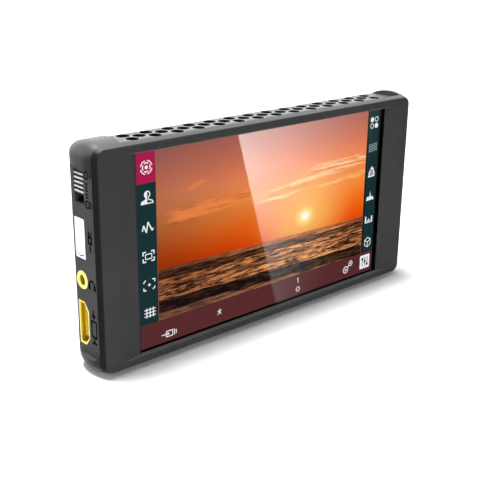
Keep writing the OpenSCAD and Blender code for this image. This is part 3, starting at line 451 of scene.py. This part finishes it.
def cloudBank(across, up, cloud):
    bank = band(up, across * cloud["rise"] + cloud["height"], cloud["half"], cloud["soft"])
    for start, full in cloud["ends"]:
        bank = bank * across.ramp(start, full)
    return bank


def duskClouds(paint, sky, across, up):
    # streaks that rise gently to the right, each torn by two sizes of noise
    angle, stretch = dusk["cloudAngle"], dusk["cloudStretch"]
    torn = streaks(paint, 230.0, 5.0, 0.72, angle, stretch) * 0.6
    torn = torn + streaks(paint, 620.0, 3.0, 0.7, angle, stretch) * 0.4
    west, tuft, low = (cloudBank(across, up, clouds[name]) for name in ("west", "tuft", "low"))
    # the golden bank climbs over the sun and then levels out
    ridge = across.ramp(6.0, 26.0, 9.3, 14.3) + across.ramp(26.0, 52.0)
    east = band(up, ridge - 0.4, 1.3, 2.0) * across.ramp(-12.0, 4.0)
    golden = torn.ramp(0.49, 0.56) * (east + low * 0.7).math("MINIMUM", 1.0)
    sky = paint.mix(golden * 0.8, sky, tone(255, 222, 160))
    glowing = torn.ramp(0.45, 0.54) * (west + tuft * 0.7).math("MINIMUM", 1.0)
    sky = paint.mix(glowing * 0.72, sky, tone(252, 138, 74))
    shade = torn.ramp(0.5, 0.42) * (west + east * 0.6 + band(up, ridge - 2.6, 0.4, 1.8) * 0.5)
    return paint.mix(shade.math("MULTIPLY", 0.32, clamp=True), sky, tone(176, 70, 24))


def duskWater(paint, across, up, above):
    # ripples in two sizes, a dark swell below the horizon and a dark breaker at the bar
    fine = streaks(paint, 1200.0, 4.0, 0.75, dusk["waveAngle"], (0.14, 1.0, 1.3))
    long = streaks(paint, 420.0, 3.0, 0.6, dusk["waveAngle"], (0.1, 1.0, 1.5))
    level = up + across * dusk["waveTilt"]

    def wave(height, waver, half, soft):
        # a dark line of water that wavers with the long ripples
        return band(level, (0.5 - long) * waver + height, half, soft)

    # lit crests on dark water, brighter along the sun's path
    lit = fine.ramp(0.4, 0.6) * 0.7 + long.ramp(0.4, 0.6) * 0.3
    path = (1 - abs(across - dusk["sunX"]).ramp(4.0, 34.0)) * 0.6 + across.ramp(-50.0, 0.0) * 0.4
    water = paint.mix(lit.ramp(0.15, 0.75), tone(44, 24, 18), tone(212, 132, 82))
    water = paint.mix(path.ramp(0.0, 1.0, 0.4, 0.0), water, tone(54, 32, 26))
    water = paint.mix(lit.ramp(0.6, 0.95) * path * 0.9, water, tone(255, 186, 112))
    calm = paint.mix(path, tone(104, 62, 40), tone(196, 104, 48))    # a strip under the horizon
    water = paint.mix(above.ramp(-1.9, -1.2) * 0.7, water, calm)
    swell = wave(dusk["swell"], 2.0, 0.95, 0.6)
    swell = swell * fine.ramp(0.3, 0.6, 1.0, 0.82) * across.ramp(10.0, 50.0, 1.0, 0.85)
    water = paint.mix(swell, water, tone(42, 20, 16))
    water = paint.mix(wave(dusk["trough"], 5.0, 0.1, 0.6) * 0.6, water, tone(56, 30, 22))
    breaker = wave(dusk["breaker"], 2.8, 1.8, 0.6) * fine.ramp(0.35, 0.65, 1.0, 0.9)
    water = paint.mix(breaker, water, tone(20, 15, 17))
    foam = level - dusk["foam"] + (long - 0.5) * 2.0
    return paint.mix(foam.ramp(0.4, -0.2) * 0.6, water, tone(92, 66, 58))


def duskPicture():
    paint = Paint("duskPicture", Base_Color=black, Roughness=1.0, Specular_IOR_Level=0.0)
    x, z = paint.axes()[::2]
    across = (x - midX) / mm
    up = (z - midZ) / mm
    above = up + across * dusk["tilt"] - dusk["horizon"]    # height over the horizon
    farX = (across - dusk["sunX"]) / dusk["glowWide"]
    farZ = up - dusk["sunZ"]
    far = (farX * farX + farZ * farZ) ** 0.5
    sky = duskSky(paint, across, above)
    sky = paint.mix((far.ramp(1.0, dusk["glow"], 1.0, 0.0) ** 1.4) * 0.85, sky, tone(255, 190, 74))
    sky = duskClouds(paint, sky, across, up)
    sky = paint.mix((far.ramp(1.0, dusk["halo"], 1.0, 0.0) ** 1.6) * 0.95, sky, tone(255, 236, 150))
    sky = paint.mix(far.ramp(*dusk["disc"], 1.0, 0.0), sky, tone(255, 253, 226))
    water = duskWater(paint, across, up, above)
    paint.set("Emission Color", paint.mix(above.above(0.0), water, sky))
    paint.set("Emission Strength", 1.0)
    return paint.material


menuTones = {
    "ink": emitter("menuWhite", (0.93, 0.95, 0.95)),
    "teal": emitter("menuTeal", tone(26, 52, 56)),
    "shade": emitter("menuShade", tone(12, 22, 24)),
    "pink": emitter("menuPink", tone(174, 30, 80)),
    "maroon": emitter("menuMaroon", tone(92, 45, 48)),
    "edge": emitter("menuEdge", tone(150, 92, 74)),
    "grey": emitter("menuGrey", tone(112, 122, 118)),
    "pale": emitter("menuPale", tone(150, 164, 162)),
    "dark": emitter("menuDark", tone(14, 14, 14)),
    "border": emitter("menuBorder", tone(50, 50, 50)),
    "dusk": duskPicture(),
}


def placed(name, data):
    # an object of the scene, from a mesh, a lamp or a lens
    holder = bpy.data.objects.new(name, data)
    bpy.context.scene.collection.objects.link(holder)
    return holder


def meshPiece(name, build, finish):
    # closes the mesh that is being built and gives its object
    bmesh.ops.recalc_face_normals(build, faces=build.faces[:])
    mesh = bpy.data.meshes.new(name)
    build.to_mesh(mesh)
    build.free()
    mesh.materials.append(finish)
    return placed(name, mesh)


def bridge(build, one, two):
    # faces between two closed loops with as many points
    for k in range(len(one)):
        build.faces.new((one[k - 1], one[k], two[k], two[k - 1]))


def plate(name, shapes, place, push, finish):
    # thin plates from flat outlines; a shape is an outline, or (outline, holes)
    build = bmesh.new()
    for shape in shapes:
        outline, holes = shape if isinstance(shape, tuple) else (shape, [])
        edges = []
        for loop in [outline] + holes:
            points = [build.verts.new(place(a, b)) for a, b in loop]
            edges += [build.edges.new(ends) for ends in zip(points, points[1:] + points[:1])]
        filled = bmesh.ops.triangle_fill(build, use_beauty=True, use_dissolve=False, edges=edges)
        faces = [part for part in filled["geom"] if isinstance(part, bmesh.types.BMFace)]
        grown = bmesh.ops.extrude_face_region(build, geom=faces)
        moved = [part for part in grown["geom"] if isinstance(part, bmesh.types.BMVert)]
        bmesh.ops.translate(build, verts=moved, vec=push)
    piece = meshPiece(name, build, finish)
    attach(piece, "housing")


def onScreen(depth):
    # across and up from the middle of the screen
    return lambda across, up: (midX + across * mm, depth, midZ + up * mm)


def rectangle(x0, z0, x1, z1):
    return [(x0, z0), (x1, z0), (x1, z1), (x0, z1)]


def arc(cx, cz, radius, start, end, steps):
    turns = [math.radians(start + (end - start) * i / steps) for i in range(steps + 1)]
    return [(cx + radius * math.cos(turn), cz + radius * math.sin(turn)) for turn in turns]


def circle(cx, cz, radius, steps=20):
    return arc(cx, cz, radius, 0, 360, steps)[:-1]


def ring(cx, cz, outer, width):
    return circle(cx, cz, outer), [circle(cx, cz, outer - width)]


def arcBand(cx, cz, outer, width, start, end, steps=6):
    return arc(cx, cz, outer, start, end, steps) + arc(cx, cz, outer - width, end, start, steps)


def softRectangle(halfW, halfH, radius, steps=4):
    spots = ((1, 1, 0), (-1, 1, 90), (-1, -1, 180), (1, -1, 270))
    return [point for sx, sz, turn in spots
            for point in arc(sx * (halfW - radius), sz * (halfH - radius), radius, turn, turn + 90, steps)]


def frameOutline(halfW, halfH, radius, width):
    return softRectangle(halfW, halfH, radius), [softRectangle(halfW - width, halfH - width, radius * 0.6)]


def stroke(points, width):
    # a line of the given width: mitred on the inside of each bend, cut off on the outside
    half = width / 2
    sides = {1: [], -1: []}
    normals = []
    for (ax, az), (bx, bz) in zip(points, points[1:]):
        run = math.hypot(bx - ax, bz - az)
        normals.append((-(bz - az) / run, (bx - ax) / run))
    for i, (px, pz) in enumerate(points):
        before, after = normals[max(i - 1, 0)], normals[min(i, len(normals) - 1)]
        bend = before[0] * after[1] - before[1] * after[0]
        for side in (1, -1):
            if side * bend > 1e-6:
                mx, mz = before[0] + after[0], before[1] + after[1]
                reach = 2 * half / (mx * mx + mz * mz)
                sides[side].append((px + side * mx * reach, pz + side * mz * reach))
            elif side * bend < -1e-6:
                sides[side] += [(px + side * half * nx, pz + side * half * nz)
                                for nx, nz in (before, after)]
            else:
                sides[side].append((px + side * half * after[0], pz + side * half * after[1]))
    return sides[1] + sides[-1][::-1]


litHalfW, litHalfH = picture["width"] / 2, picture["height"] / 2
slab = picture["slab"] * mm
litDepth = cellFront - slab
barTop = -litHalfH + picture["barHeight"]
menuStart = -litHalfW + picture["border"]
leftEdge = -litHalfW + picture["leftMenu"]
rightEdge = litHalfW - picture["rightMenu"]
shadeEdge = rightEdge + picture["shade"]
pinkFoot = litHalfH - picture["pinkCell"]
line = picture["line"]
for name, outline, finish in [
        ("litDusk", rectangle(leftEdge + line, barTop, rightEdge - line, litHalfH), "dusk"),
        ("litBorder", rectangle(-litHalfW, -litHalfH, menuStart, litHalfH), "border"),
        ("litBar", rectangle(menuStart, -litHalfH, litHalfW, barTop), "maroon"),
        ("litLeftMenu", rectangle(menuStart, barTop, leftEdge, pinkFoot), "teal"),
        ("litChosen", rectangle(menuStart, pinkFoot, leftEdge, litHalfH), "pink"),
        ("litLeftLine", rectangle(leftEdge, barTop, leftEdge + line, litHalfH), "edge"),
        ("litRightLine", rectangle(rightEdge - line, barTop, rightEdge, litHalfH), "edge"),
        ("litRightShade", rectangle(rightEdge, barTop, shadeEdge, litHalfH), "shade"),
        ("litRightMenu", rectangle(shadeEdge, barTop, litHalfW, litHalfH), "teal")]:
    plate(name, [outline], onScreen(litDepth), (0, slab, 0), menuTones[finish])
print("lit picture placed")


# menu signs: each one is a few outlines about its own middle, in mm
signs = {
    "leftColumn": -53.1, "rightColumn": 54.4,      # middles of the two columns
    "firstRow": 27.95, "rowPitch": 9.72,           # top sign and spacing
    "line": 0.3, "bold": 0.46,                     # stroke widths
    "lift": 0.02,                                  # in front of the lit slab
    "bar": {                                       # places of the signs in the bottom bar
        "signSource": (-45.4, -30.4), "signSpark": (-23.5, -28.95), "signOne": (15.3, -27.1),
        "signLamp": (15.3, -30.6), "signPair": (43.4, -28.5)},
    "pairTurn": 38.0,
}
thin, bold = signs["line"], signs["bold"]


def drawSign(name, shapes, cx, cz, finish="ink", turn=0.0, layer=1):
    cosine, sine = math.cos(math.radians(turn)), math.sin(math.radians(turn))
    spot = onScreen(litDepth - layer * signs["lift"] * mm)

    def place(a, b):
        return spot(cx + a * cosine - b * sine, cz + a * sine + b * cosine)

    plate(name, shapes, place, (0, signs["lift"] * mm / 2, 0), menuTones[finish])


def corners(halfW, halfH, arm, width, which=((1, 1), (-1, 1), (-1, -1), (1, -1))):
    # the bent strokes at the corners of a rectangle
    return [stroke([(sx * (halfW - arm), sz * halfH), (sx * halfW, sz * halfH),
                    (sx * halfW, sz * (halfH - arm))], width) for sx, sz in which]


target = [arcBand(0, 0, 2.35, 0.34, 90 * k + 12, 90 * k + 78) for k in range(4)]
target += [arcBand(0, 0, 1.65, 0.4, 90 * k - 33, 90 * k + 33) for k in range(4)]
target += [circle(0, 0, 0.62, 12)]
bustSide = [(0.0, -0.35), (0.6, -0.3), (0.85, -0.55), (2.05, -0.95), (2.4, -1.4), (2.4, -2.05)]
bust = ([(0.0, -2.05)] + bustSide[:0:-1] + arc(0.05, 1.05, 1.22, -60, 240, 16)
        + [(-a, b) for a, b in bustSide[1:]],
        [[(0.05, -1.7), (2.05, -1.7), (2.0, -1.45), (1.8, -1.25), (0.5, -0.8), (0.3, -0.1)]
         + arc(0.05, 1.05, 0.88, -55, 88, 8)])
zigzag = [stroke([(-2.15, -1.0), (-1.6, 0.85), (-0.6, -1.65), (0.1, 1.75), (1.65, -1.25), (2.1, -0.55)],
                 bold)]
brackets = corners(2.15, 1.65, 1.15, bold) + [frameOutline(1.4, 0.98, 0.45, 0.32)]
centre = corners(2.2, 1.7, 1.0, 0.4, ((1, 1), (-1, -1)))
centre += [arcBand(-1.25, 0.75, 1.15, 0.4, 95, 175), arcBand(1.25, -0.75, 1.15, 0.4, 275, 355)]
starReach = [0.8, 0.28] * 4                        # points and notches of the star in the middle
centre += [[(reach * math.cos(math.radians(45 * k)), reach * math.sin(math.radians(45 * k)))
            for k, reach in enumerate(starReach)]]
grid = [rectangle(-2.25, k * 1.12 - 0.17, 2.25, k * 1.12 + 0.17) for k in (-1, 0, 1)]
grid += [rectangle(k * 1.3 - 0.17, -1.75, k * 1.3 + 0.17, 1.75) for k in (-1, 0, 1)]
dots = [circle(-1.24, 1.23, 1.0), circle(1.24, -1.23, 1.0), ring(1.24, 1.23, 1.02, thin),
        ring(-1.24, -1.23, 1.02, thin)]
hatch = [stroke([(-2.3, k * 0.66 - 0.2), (2.3, k * 0.66 + 0.2)], thin) for k in range(-2, 3)]
hatch += [rectangle(-2.3, -1.75, -2.15, 1.5), rectangle(2.15, -1.5, 2.3, 1.75)]
peak = ([(-1.9, -2.15), (1.85, -2.0), (1.8, -0.35), (1.0, 0.9), (1.45, 1.25), (0.6, 1.5), (0.0, 2.3),
         (-0.5, 1.35), (-1.5, 0.15)],
        [[(-1.2, -1.6), (1.25, -1.5), (1.2, -0.5), (0.2, 1.1), (-0.85, 0.2)]])
peakFill = [stroke([(-1.15, k * 0.6 - 1.2), (1.2, k * 0.6 - 1.1)], 0.22) for k in range(3)]
spire = [[(-2.35, -1.9), (2.35, -1.75), (1.9, -1.0), (1.15, -0.2), (0.85, -0.6), (0.3, -0.2),
          (-0.05, 1.95), (-0.35, 0.0), (-0.9, -0.5), (-1.7, -0.15)]]
barSpans = ((-2.3, -1.5, 1.3), (-1.2, -0.75, -0.2), (-0.4, 0.05, 0.3), (0.4, 0.85, -0.4), (1.3, 2.1, 1.1))
bars = [rectangle(start, -1.3, end, top) for start, end, top in barSpans]
bars += [rectangle(-2.3, -1.5, 2.1, -1.3)]
cubeRim = [(2.15 * math.cos(math.radians(90 + 60 * k)), 2.2 * math.sin(math.radians(90 + 60 * k)))
           for k in range(6)]
cube = [(cubeRim, [[(0.82 * a, 0.82 * b) for a, b in cubeRim]])]
cube += [stroke([(0, 0), (0.9 * a, 0.9 * b)], 0.36) for a, b in cubeRim[1::2]]

leftSigns = {"signTarget": target, "signBust": [bust], "signZigzag": zigzag,
             "signBrackets": brackets, "signCentre": centre, "signGrid": grid}
rightSigns = {"signDots": dots, "signHatch": hatch, "signPeak": [peak] + peakFill, "signSpire": spire,
              "signBars": bars, "signCube": cube}
for column, group in (("leftColumn", leftSigns), ("rightColumn", rightSigns)):
    for row, (name, shapes) in enumerate(group.items()):
        drawSign(name, shapes, signs[column], signs["firstRow"] - row * signs["rowPitch"],
                 "pale" if name == "signHatch" else "ink")

# bottom bar: a source sign, a spark, a level number over a lamp, two targets and a slider card
source = [frameOutline(1.5, 1.15, 0.3, 0.34), stroke([(-3.2, 0.0), (-0.6, 0.0)], 0.34),
          [(-0.8, 0.55), (0.1, 0.0), (-0.8, -0.55)], rectangle(1.9, -1.1, 2.25, 1.1),
          rectangle(2.65, -0.7, 3.0, 0.7)]
spark = [stroke([(-0.85, -0.9), (0.85, 0.7)], thin), stroke([(-0.8, 0.6), (0.75, -0.8)], thin),
         stroke([(0.0, 0.1), (0.1, 1.2)], thin)]
levelOne = [stroke([(-0.45, 0.6), (0.0, 1.0), (0.0, -1.0)], thin)]
rays = [(math.cos(math.radians(60 * k)), math.sin(math.radians(60 * k))) for k in range(6)]
levelLamp = [ring(0, 0, 0.85, 0.26)]
levelLamp += [stroke([(1.05 * a, 1.05 * b), (1.4 * a, 1.4 * b)], 0.24) for a, b in rays]
twoTargets = [ring(-1.75, 0, 1.5, 0.36), circle(-1.75, 0, 0.55, 12), ring(1.75, 0, 1.15, 0.34),
              circle(1.75, 0, 0.4, 12), rectangle(-0.3, -0.18, 0.65, 0.18)]
barSigns = {"signSource": source, "signSpark": spark, "signOne": levelOne, "signLamp": levelLamp,
            "signPair": twoTargets}
for name, shapes in barSigns.items():
    turn = signs["pairTurn"] if name == "signPair" else 0.0
    drawSign(name, shapes, *signs["bar"][name], turn=turn)

sliderCard = {"x": 53.35, "z": -28.7, "halfW": 2.9, "halfH": 2.85, "corner": 0.4, "pitch": 1.42,
              "track": (0.24, 1.9), "knob": 0.62, "rises": (1.25, 0.1, -1.3)}
cardMiddle = (sliderCard["x"], sliderCard["z"])
cardOutline = softRectangle(sliderCard["halfW"], sliderCard["halfH"], sliderCard["corner"])
drawSign("signPanel", [cardOutline], *cardMiddle)
tracks, knobs = [], []
for k, rise in zip((-1, 0, 1), sliderCard["rises"]):
    middle = k * sliderCard["pitch"]
    trackHalf, trackReach = sliderCard["track"]
    tracks.append(rectangle(middle - trackHalf, -trackReach, middle + trackHalf, trackReach))
    knobs.append(circle(middle, rise, sliderCard["knob"], 14))
drawSign("signSliders", tracks, *cardMiddle, "grey", layer=2)
drawSign("signKnobs", knobs, *cardMiddle, "dark", layer=3)
print("menu signs drawn")


# printed marks beside the sockets: ink on the port panel, at heights from the screen's middle
marks = {
    "depth": 6.0, "ink": 0.02, "line": 0.62,       # place behind the front face, thickness, stroke
    "open": 27.8, "travel": 23.0, "shut": 18.7, "plug": 7.4, "phones": -7.2, "picture": -22.4,
    "tick": (0.6, 0.27, 1.05),                     # half width, half height and step of the ticks
}
inkDark = mouldedPlastic("markInk", grey(0.001), 0.9, depth=0.002, gloss=0.0)
inkLine = marks["line"]
inkHalf = inkLine / 2


def printMark(name, shapes, up, depth=0.0):
    # drawn in depth (to the back) and height; seen from the left the depth runs to the left
    plate(name, shapes,
          lambda a, b: (panelX, frontY + (marks["depth"] + depth + a) * mm, midZ + (up + b) * mm),
          (-marks["ink"] * mm, 0, 0), inkDark)


def padlock(tail):
    # a round body with a keyhole; its shackle, to the front of the panel, ends at the tail's angle
    return [ring(0.55, 0, 1.35, inkLine * 0.8), rectangle(0.3, -0.2, 0.8, 0.2),
            arcBand(-0.55, 0.0, 1.3, inkLine * 0.8, 100, tail, 10)]


tickW, tickH, tickStep = marks["tick"]
ticks = [rectangle(-tickW, k * tickStep - tickH, tickW, k * tickStep + tickH) for k in range(-2, 3)]
plug = [frameOutline(1.1, 1.3, 0.25, inkLine), rectangle(-0.9, 1.3, -0.3, 2.7),
        rectangle(0.3, 1.3, 0.9, 2.7), rectangle(-inkHalf, -3.9, inkHalf, -1.3)]
phones = [arcBand(0, -0.2, 1.7, inkLine, 0, 180, 12), rectangle(-2.0, -1.8, -0.9, 0.0),
          rectangle(0.9, -1.8, 2.0, 0.0)]
screen = [frameOutline(1.7, 3.0, 0.4, inkLine), rectangle(-inkHalf, 4.2, inkHalf, 6.6),
          [(-1.2, 4.9), (0.0, 3.4), (1.2, 4.9)], rectangle(-inkHalf, -4.6, inkHalf, -3.0),
          rectangle(-1.3, -5.2, 1.3, -4.5)]
printMark("markOpen", padlock(225), marks["open"])
printMark("markShut", padlock(260), marks["shut"])
printMark("markTravel", ticks, marks["travel"], 0.6)
printMark("markPlug", plug, marks["plug"], 0.1)
printMark("markPhones", phones, marks["phones"], 0.2)
printMark("markPicture", screen, marks["picture"], 0.1)
print("printed marks placed")


# the latch's coil spring, built here at its free length; the real one shortens as the latch goes in
spring = {
    "diameter": 4.2, "wire": 0.5, "turns": 2,      # outside, wire and number of turns
    "length": 3.4, "pressed": 1.6,                 # free and pressed lengths
    "steps": 28, "sides": 10,                      # steps in a turn, sides of the wire
}


def addSpring():
    low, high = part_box("latch_spring")
    middle = (low + high) / 2
    wire = spring["wire"] / 2
    coil = spring["diameter"] / 2 - wire
    count = spring["steps"] * spring["turns"]
    build = bmesh.new()
    rings = []
    for i in range(count + 1):
        turn = math.tau * i / spring["steps"]
        rise = wire + (spring["length"] - spring["wire"]) * i / count
        spots = []
        for k in range(spring["sides"]):
            around = math.tau * k / spring["sides"]
            reach = coil + wire * math.cos(around)
            spots.append(build.verts.new((middle.x + reach * math.cos(turn) * mm,
                                          low.y + (rise + wire * math.sin(around)) * mm,
                                          middle.z + reach * math.sin(turn) * mm)))
        rings.append(spots)
    for one, two in zip(rings, rings[1:]):
        bridge(build, one, two)
    build.faces.new(rings[0])
    build.faces.new(rings[-1][::-1])
    coilSpring = meshPiece("coilSpring", build, finishes["spring"])
    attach(coilSpring, "housing")
    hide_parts("latch_spring")
    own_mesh(coilSpring)


addSpring()
print("latch spring placed")


# low rims round the vent holes, painted lighter than the housing as a painted highlight besides the light
# their shape catches
vents = {
    "diameter": 4.4, "pitch": 8.78,                # one hole and the step along a row
    "middle": 3.0, "columns": 14,                  # the rows' middle, to the right of the screen's middle
    "rows": (8.0, 10.55, 13.1),                    # depths behind the front face
    "width": 0.26, "height": 0.07, "steps": 32,    # the rim's own section
    "drop": 2.0,                                   # the vent panel lies this far below the housing's top
}


def addVentRims():
    build = bmesh.new()
    ventPanel = shellTop - vents["drop"] * mm
    inner = vents["diameter"] / 2
    section = ((inner, vents["height"]), (inner + vents["width"], 0.0), (inner, 0.0))
    for row, depth in enumerate(vents["rows"]):
        odd = row % 2
        for i in range(vents["columns"] - odd):
            x = vents["middle"] + (i + (odd + 1 - vents["columns"]) / 2) * vents["pitch"]
            loops = []
            for radius, rise in section:
                height = ventPanel + rise * mm
                loops.append([build.verts.new((midX + a * mm, frontY + b * mm, height))
                              for a, b in circle(x, depth, radius, vents["steps"])])
            for one, two in zip(loops, loops[1:] + loops[:1]):
                bridge(build, one, two)
    rims = meshPiece("ventRims", build, finishes["ventRimHighlight"])
    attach(rims, "housing")


addVentRims()
print("vent rims placed")


# room: pale floor, soft lights, camera at the photograph's angle
room = {
    "floorHalf": 0.75, "floorTones": (0.87, 0.88),
    "front": 0.18, "back": 0.4, "below": 1.0,      # what the room gives besides the lamps
}
# the softboxes; mirrored says whether mirror views show them too
lamps = {
    "overhead": {"place": (-0.13, 0.2, 1.47), "aim": (0.0, 0.0, 0.0), "size": (0.5, 0.5),
                 "power": 44.0, "mirrored": True},
    "left": {"place": (-0.95, 0.55, 0.35), "aim": (-0.07, 0.0, 0.035), "size": (0.5, 0.4),
             "power": 2.5, "mirrored": True},
    "frontLow": {"place": (-0.2, -0.9, 0.1), "aim": (0.0, 0.0, 0.02), "size": (0.9, 0.15),
                 "power": 2.6, "mirrored": False},
    "frontStrip": {"place": (0.0, -0.06, 0.011), "aim": (0.0, 0.0, 0.011), "size": (0.5, 0.02),
                   "power": 0.08, "mirrored": False},
}


def sheet(name, points, finish):
    mesh = bpy.data.meshes.new(name)
    mesh.from_pydata(points, [], [(0, 1, 2, 3)])
    mesh.materials.append(finish)
    return placed(name, mesh)


def addFloor():
    paint = Paint("floorPaper", Specular_IOR_Level=0.1, Roughness=0.9)
    fibre = paint.noise(900.0, 3.0)
    low, high = room["floorTones"]
    paint.set("Base Color", paint.mix(fibre.ramp(0.3, 0.7), grey(low), grey(high)))
    edge = room["floorHalf"]
    floor = sheet("floor", [(-edge, -edge, 0), (edge, -edge, 0), (edge, edge, 0), (-edge, edge, 0)],
                  paint.material)


def addCard(name, points, finish):
    # an upright or flat sheet that only mirror views and views through the glass show
    card = sheet(name, points, finish)
    card.visible_camera = False
    card.visible_diffuse = False
    card.visible_shadow = False


def addGlare():
    # a card just above the floor that the glass mirrors: dark, with one bright slanted band
    card = {
        "nearLeft": (12.2, -19.5), "farLeft": (187.2, -237.9),    # two points on the band's left edge
        "fade": 0.29, "farther": 60.0,                            # how it dims to the right
        "nearLevel": 0.11, "length": 220.0, "start": -25.0,       # how it brightens away from the glass
        "strength": 4.6, "size": 1.6, "front": -12.2, "lift": 0.4,
    }
    paint = Paint("glareCard", Base_Color=black, Specular_IOR_Level=0.0)
    x, y = paint.axes()[:2]
    (ax, ay), (bx, by) = card["nearLeft"], card["farLeft"]
    length = math.hypot(bx - ax, by - ay)
    # distance to the right of the line from nearLeft to farLeft, and along it
    side = ((x / mm - ax) * (by - ay) - (y / mm - ay) * (bx - ax)) * (-1.0 / length)
    reach = ((x / mm - ax) * (bx - ax) + (y / mm - ay) * (by - ay)) / length
    fade = (side / (reach + card["farther"])).ramp(0.0, card["fade"], 1.0, 0.0, smooth=False) ** 1.6
    strong = reach.ramp(0.0, card["length"], card["nearLevel"], 1.0) * reach.above(card["start"])
    paint.set("Emission Color", paint.mix(side.above(0.0) * fade * strong, black, white))
    paint.set("Emission Strength", card["strength"])
    size, front, lift = card["size"], card["front"] * mm, card["lift"] * mm
    points = [(-size, -size, lift), (size, -size, lift), (size, front, lift), (-size, front, lift)]
    addCard("glareCard", points, paint.material)


def addLeftCard():
    # a dim sheet over the floor to the left, so that the port panel mirrors less white
    card = {"lift": 0.4, "size": 1.6, "edge": -74.5, "front": -12.2, "level": 0.3}
    size, edge, front, lift = card["size"], card["edge"] * mm, card["front"] * mm, card["lift"] * mm
    points = [(-size, front, lift), (edge, front, lift), (edge, size, lift), (-size, size, lift)]
    addCard("leftCard", points, emitter("leftCard", white, card["level"]))


def addBackCard():
    # a light wall far behind, which only the top face's grazing gloss shows
    card = {"distance": 1.1, "halfWidth": 1.6, "height": 1.1, "strength": 3.0}
    forward, right = Vector((0.66, 0.75, 0.0)), Vector((0.75, -0.66, 0.0))
    foot = [forward * card["distance"] + right * side * card["halfWidth"] for side in (-1, 1)]
    rise = Vector((0.0, 0.0, card["height"]))
    addCard("backCard", [foot[0], foot[1], foot[1] + rise, foot[0] + rise],
            emitter("backCard", white, card["strength"]))


def addLamp(name, place, aim, size, power, mirrored):
    lamp = bpy.data.lights.new(name, "AREA")
    lamp.shape = "RECTANGLE"
    lamp.size, lamp.size_y = size
    lamp.energy = power
    holder = placed(name, lamp)
    holder.location = place
    holder.rotation_euler = (Vector(aim) - Vector(place)).to_track_quat("-Z", "Y").to_euler()
    holder.visible_camera = False
    holder.visible_glossy = mirrored
    holder.visible_transmission = mirrored


def addWorld():
    # white behind the object; dimmer light in front than behind, and white light from below
    world = bpy.data.worlds.new("studio")
    world.use_nodes = True
    paint = Paint("studio", owner=world, shader="Background")
    y, z = paint.parts(paint.add("TexCoord", output=0))[1:]
    level = y.ramp(-0.7, 0.7, room["front"], room["back"])
    level = level + z.ramp(0.0, -0.1, 0.0, 1.0) * room["below"]
    ambient = paint.mix(level.math("MINIMUM", 1.0), black, white)
    paint.set("Color", paint.mix(paint.add("LightPath"), ambient, white))
    bpy.context.scene.world = world


def addCamera():
    # place in mm, directions, and the focal length in pixels, as found from the photograph's edges
    view = {"place": (-206.677, -224.675, 134.257), "forward": (0.62963, 0.70374, -0.32910),
            "right": (0.74737, -0.66434, 0.00925), "focal": 881.341, "pixels": 480, "sensor": 36.0,
            "turnPixels": 0.4}
    lens = bpy.data.cameras.new("camera")
    lens.sensor_width = view["sensor"]
    lens.sensor_fit = "HORIZONTAL"
    lens.lens = view["focal"] * view["sensor"] / view["pixels"]
    lens.clip_start = 0.01
    holder = placed("camera", lens)
    right = Vector(view["right"]).normalized()
    forward = Vector(view["forward"]).normalized() - right * (view["turnPixels"] / view["focal"])
    back = -forward.normalized()
    up = back.cross(right).normalized()
    right = up.cross(back).normalized()
    turn = Matrix((right, up, back)).transposed()
    holder.matrix_world = Matrix.Translation(Vector(view["place"]) * mm) @ turn.to_4x4()
    bpy.context.scene.camera = holder


addFloor()
addGlare()
addLeftCard()
addBackCard()
for name, settings in lamps.items():
    addLamp(name, **settings)
addWorld()
bpy.context.scene.view_settings.view_transform = "Standard"
addCamera()
print("room lit")
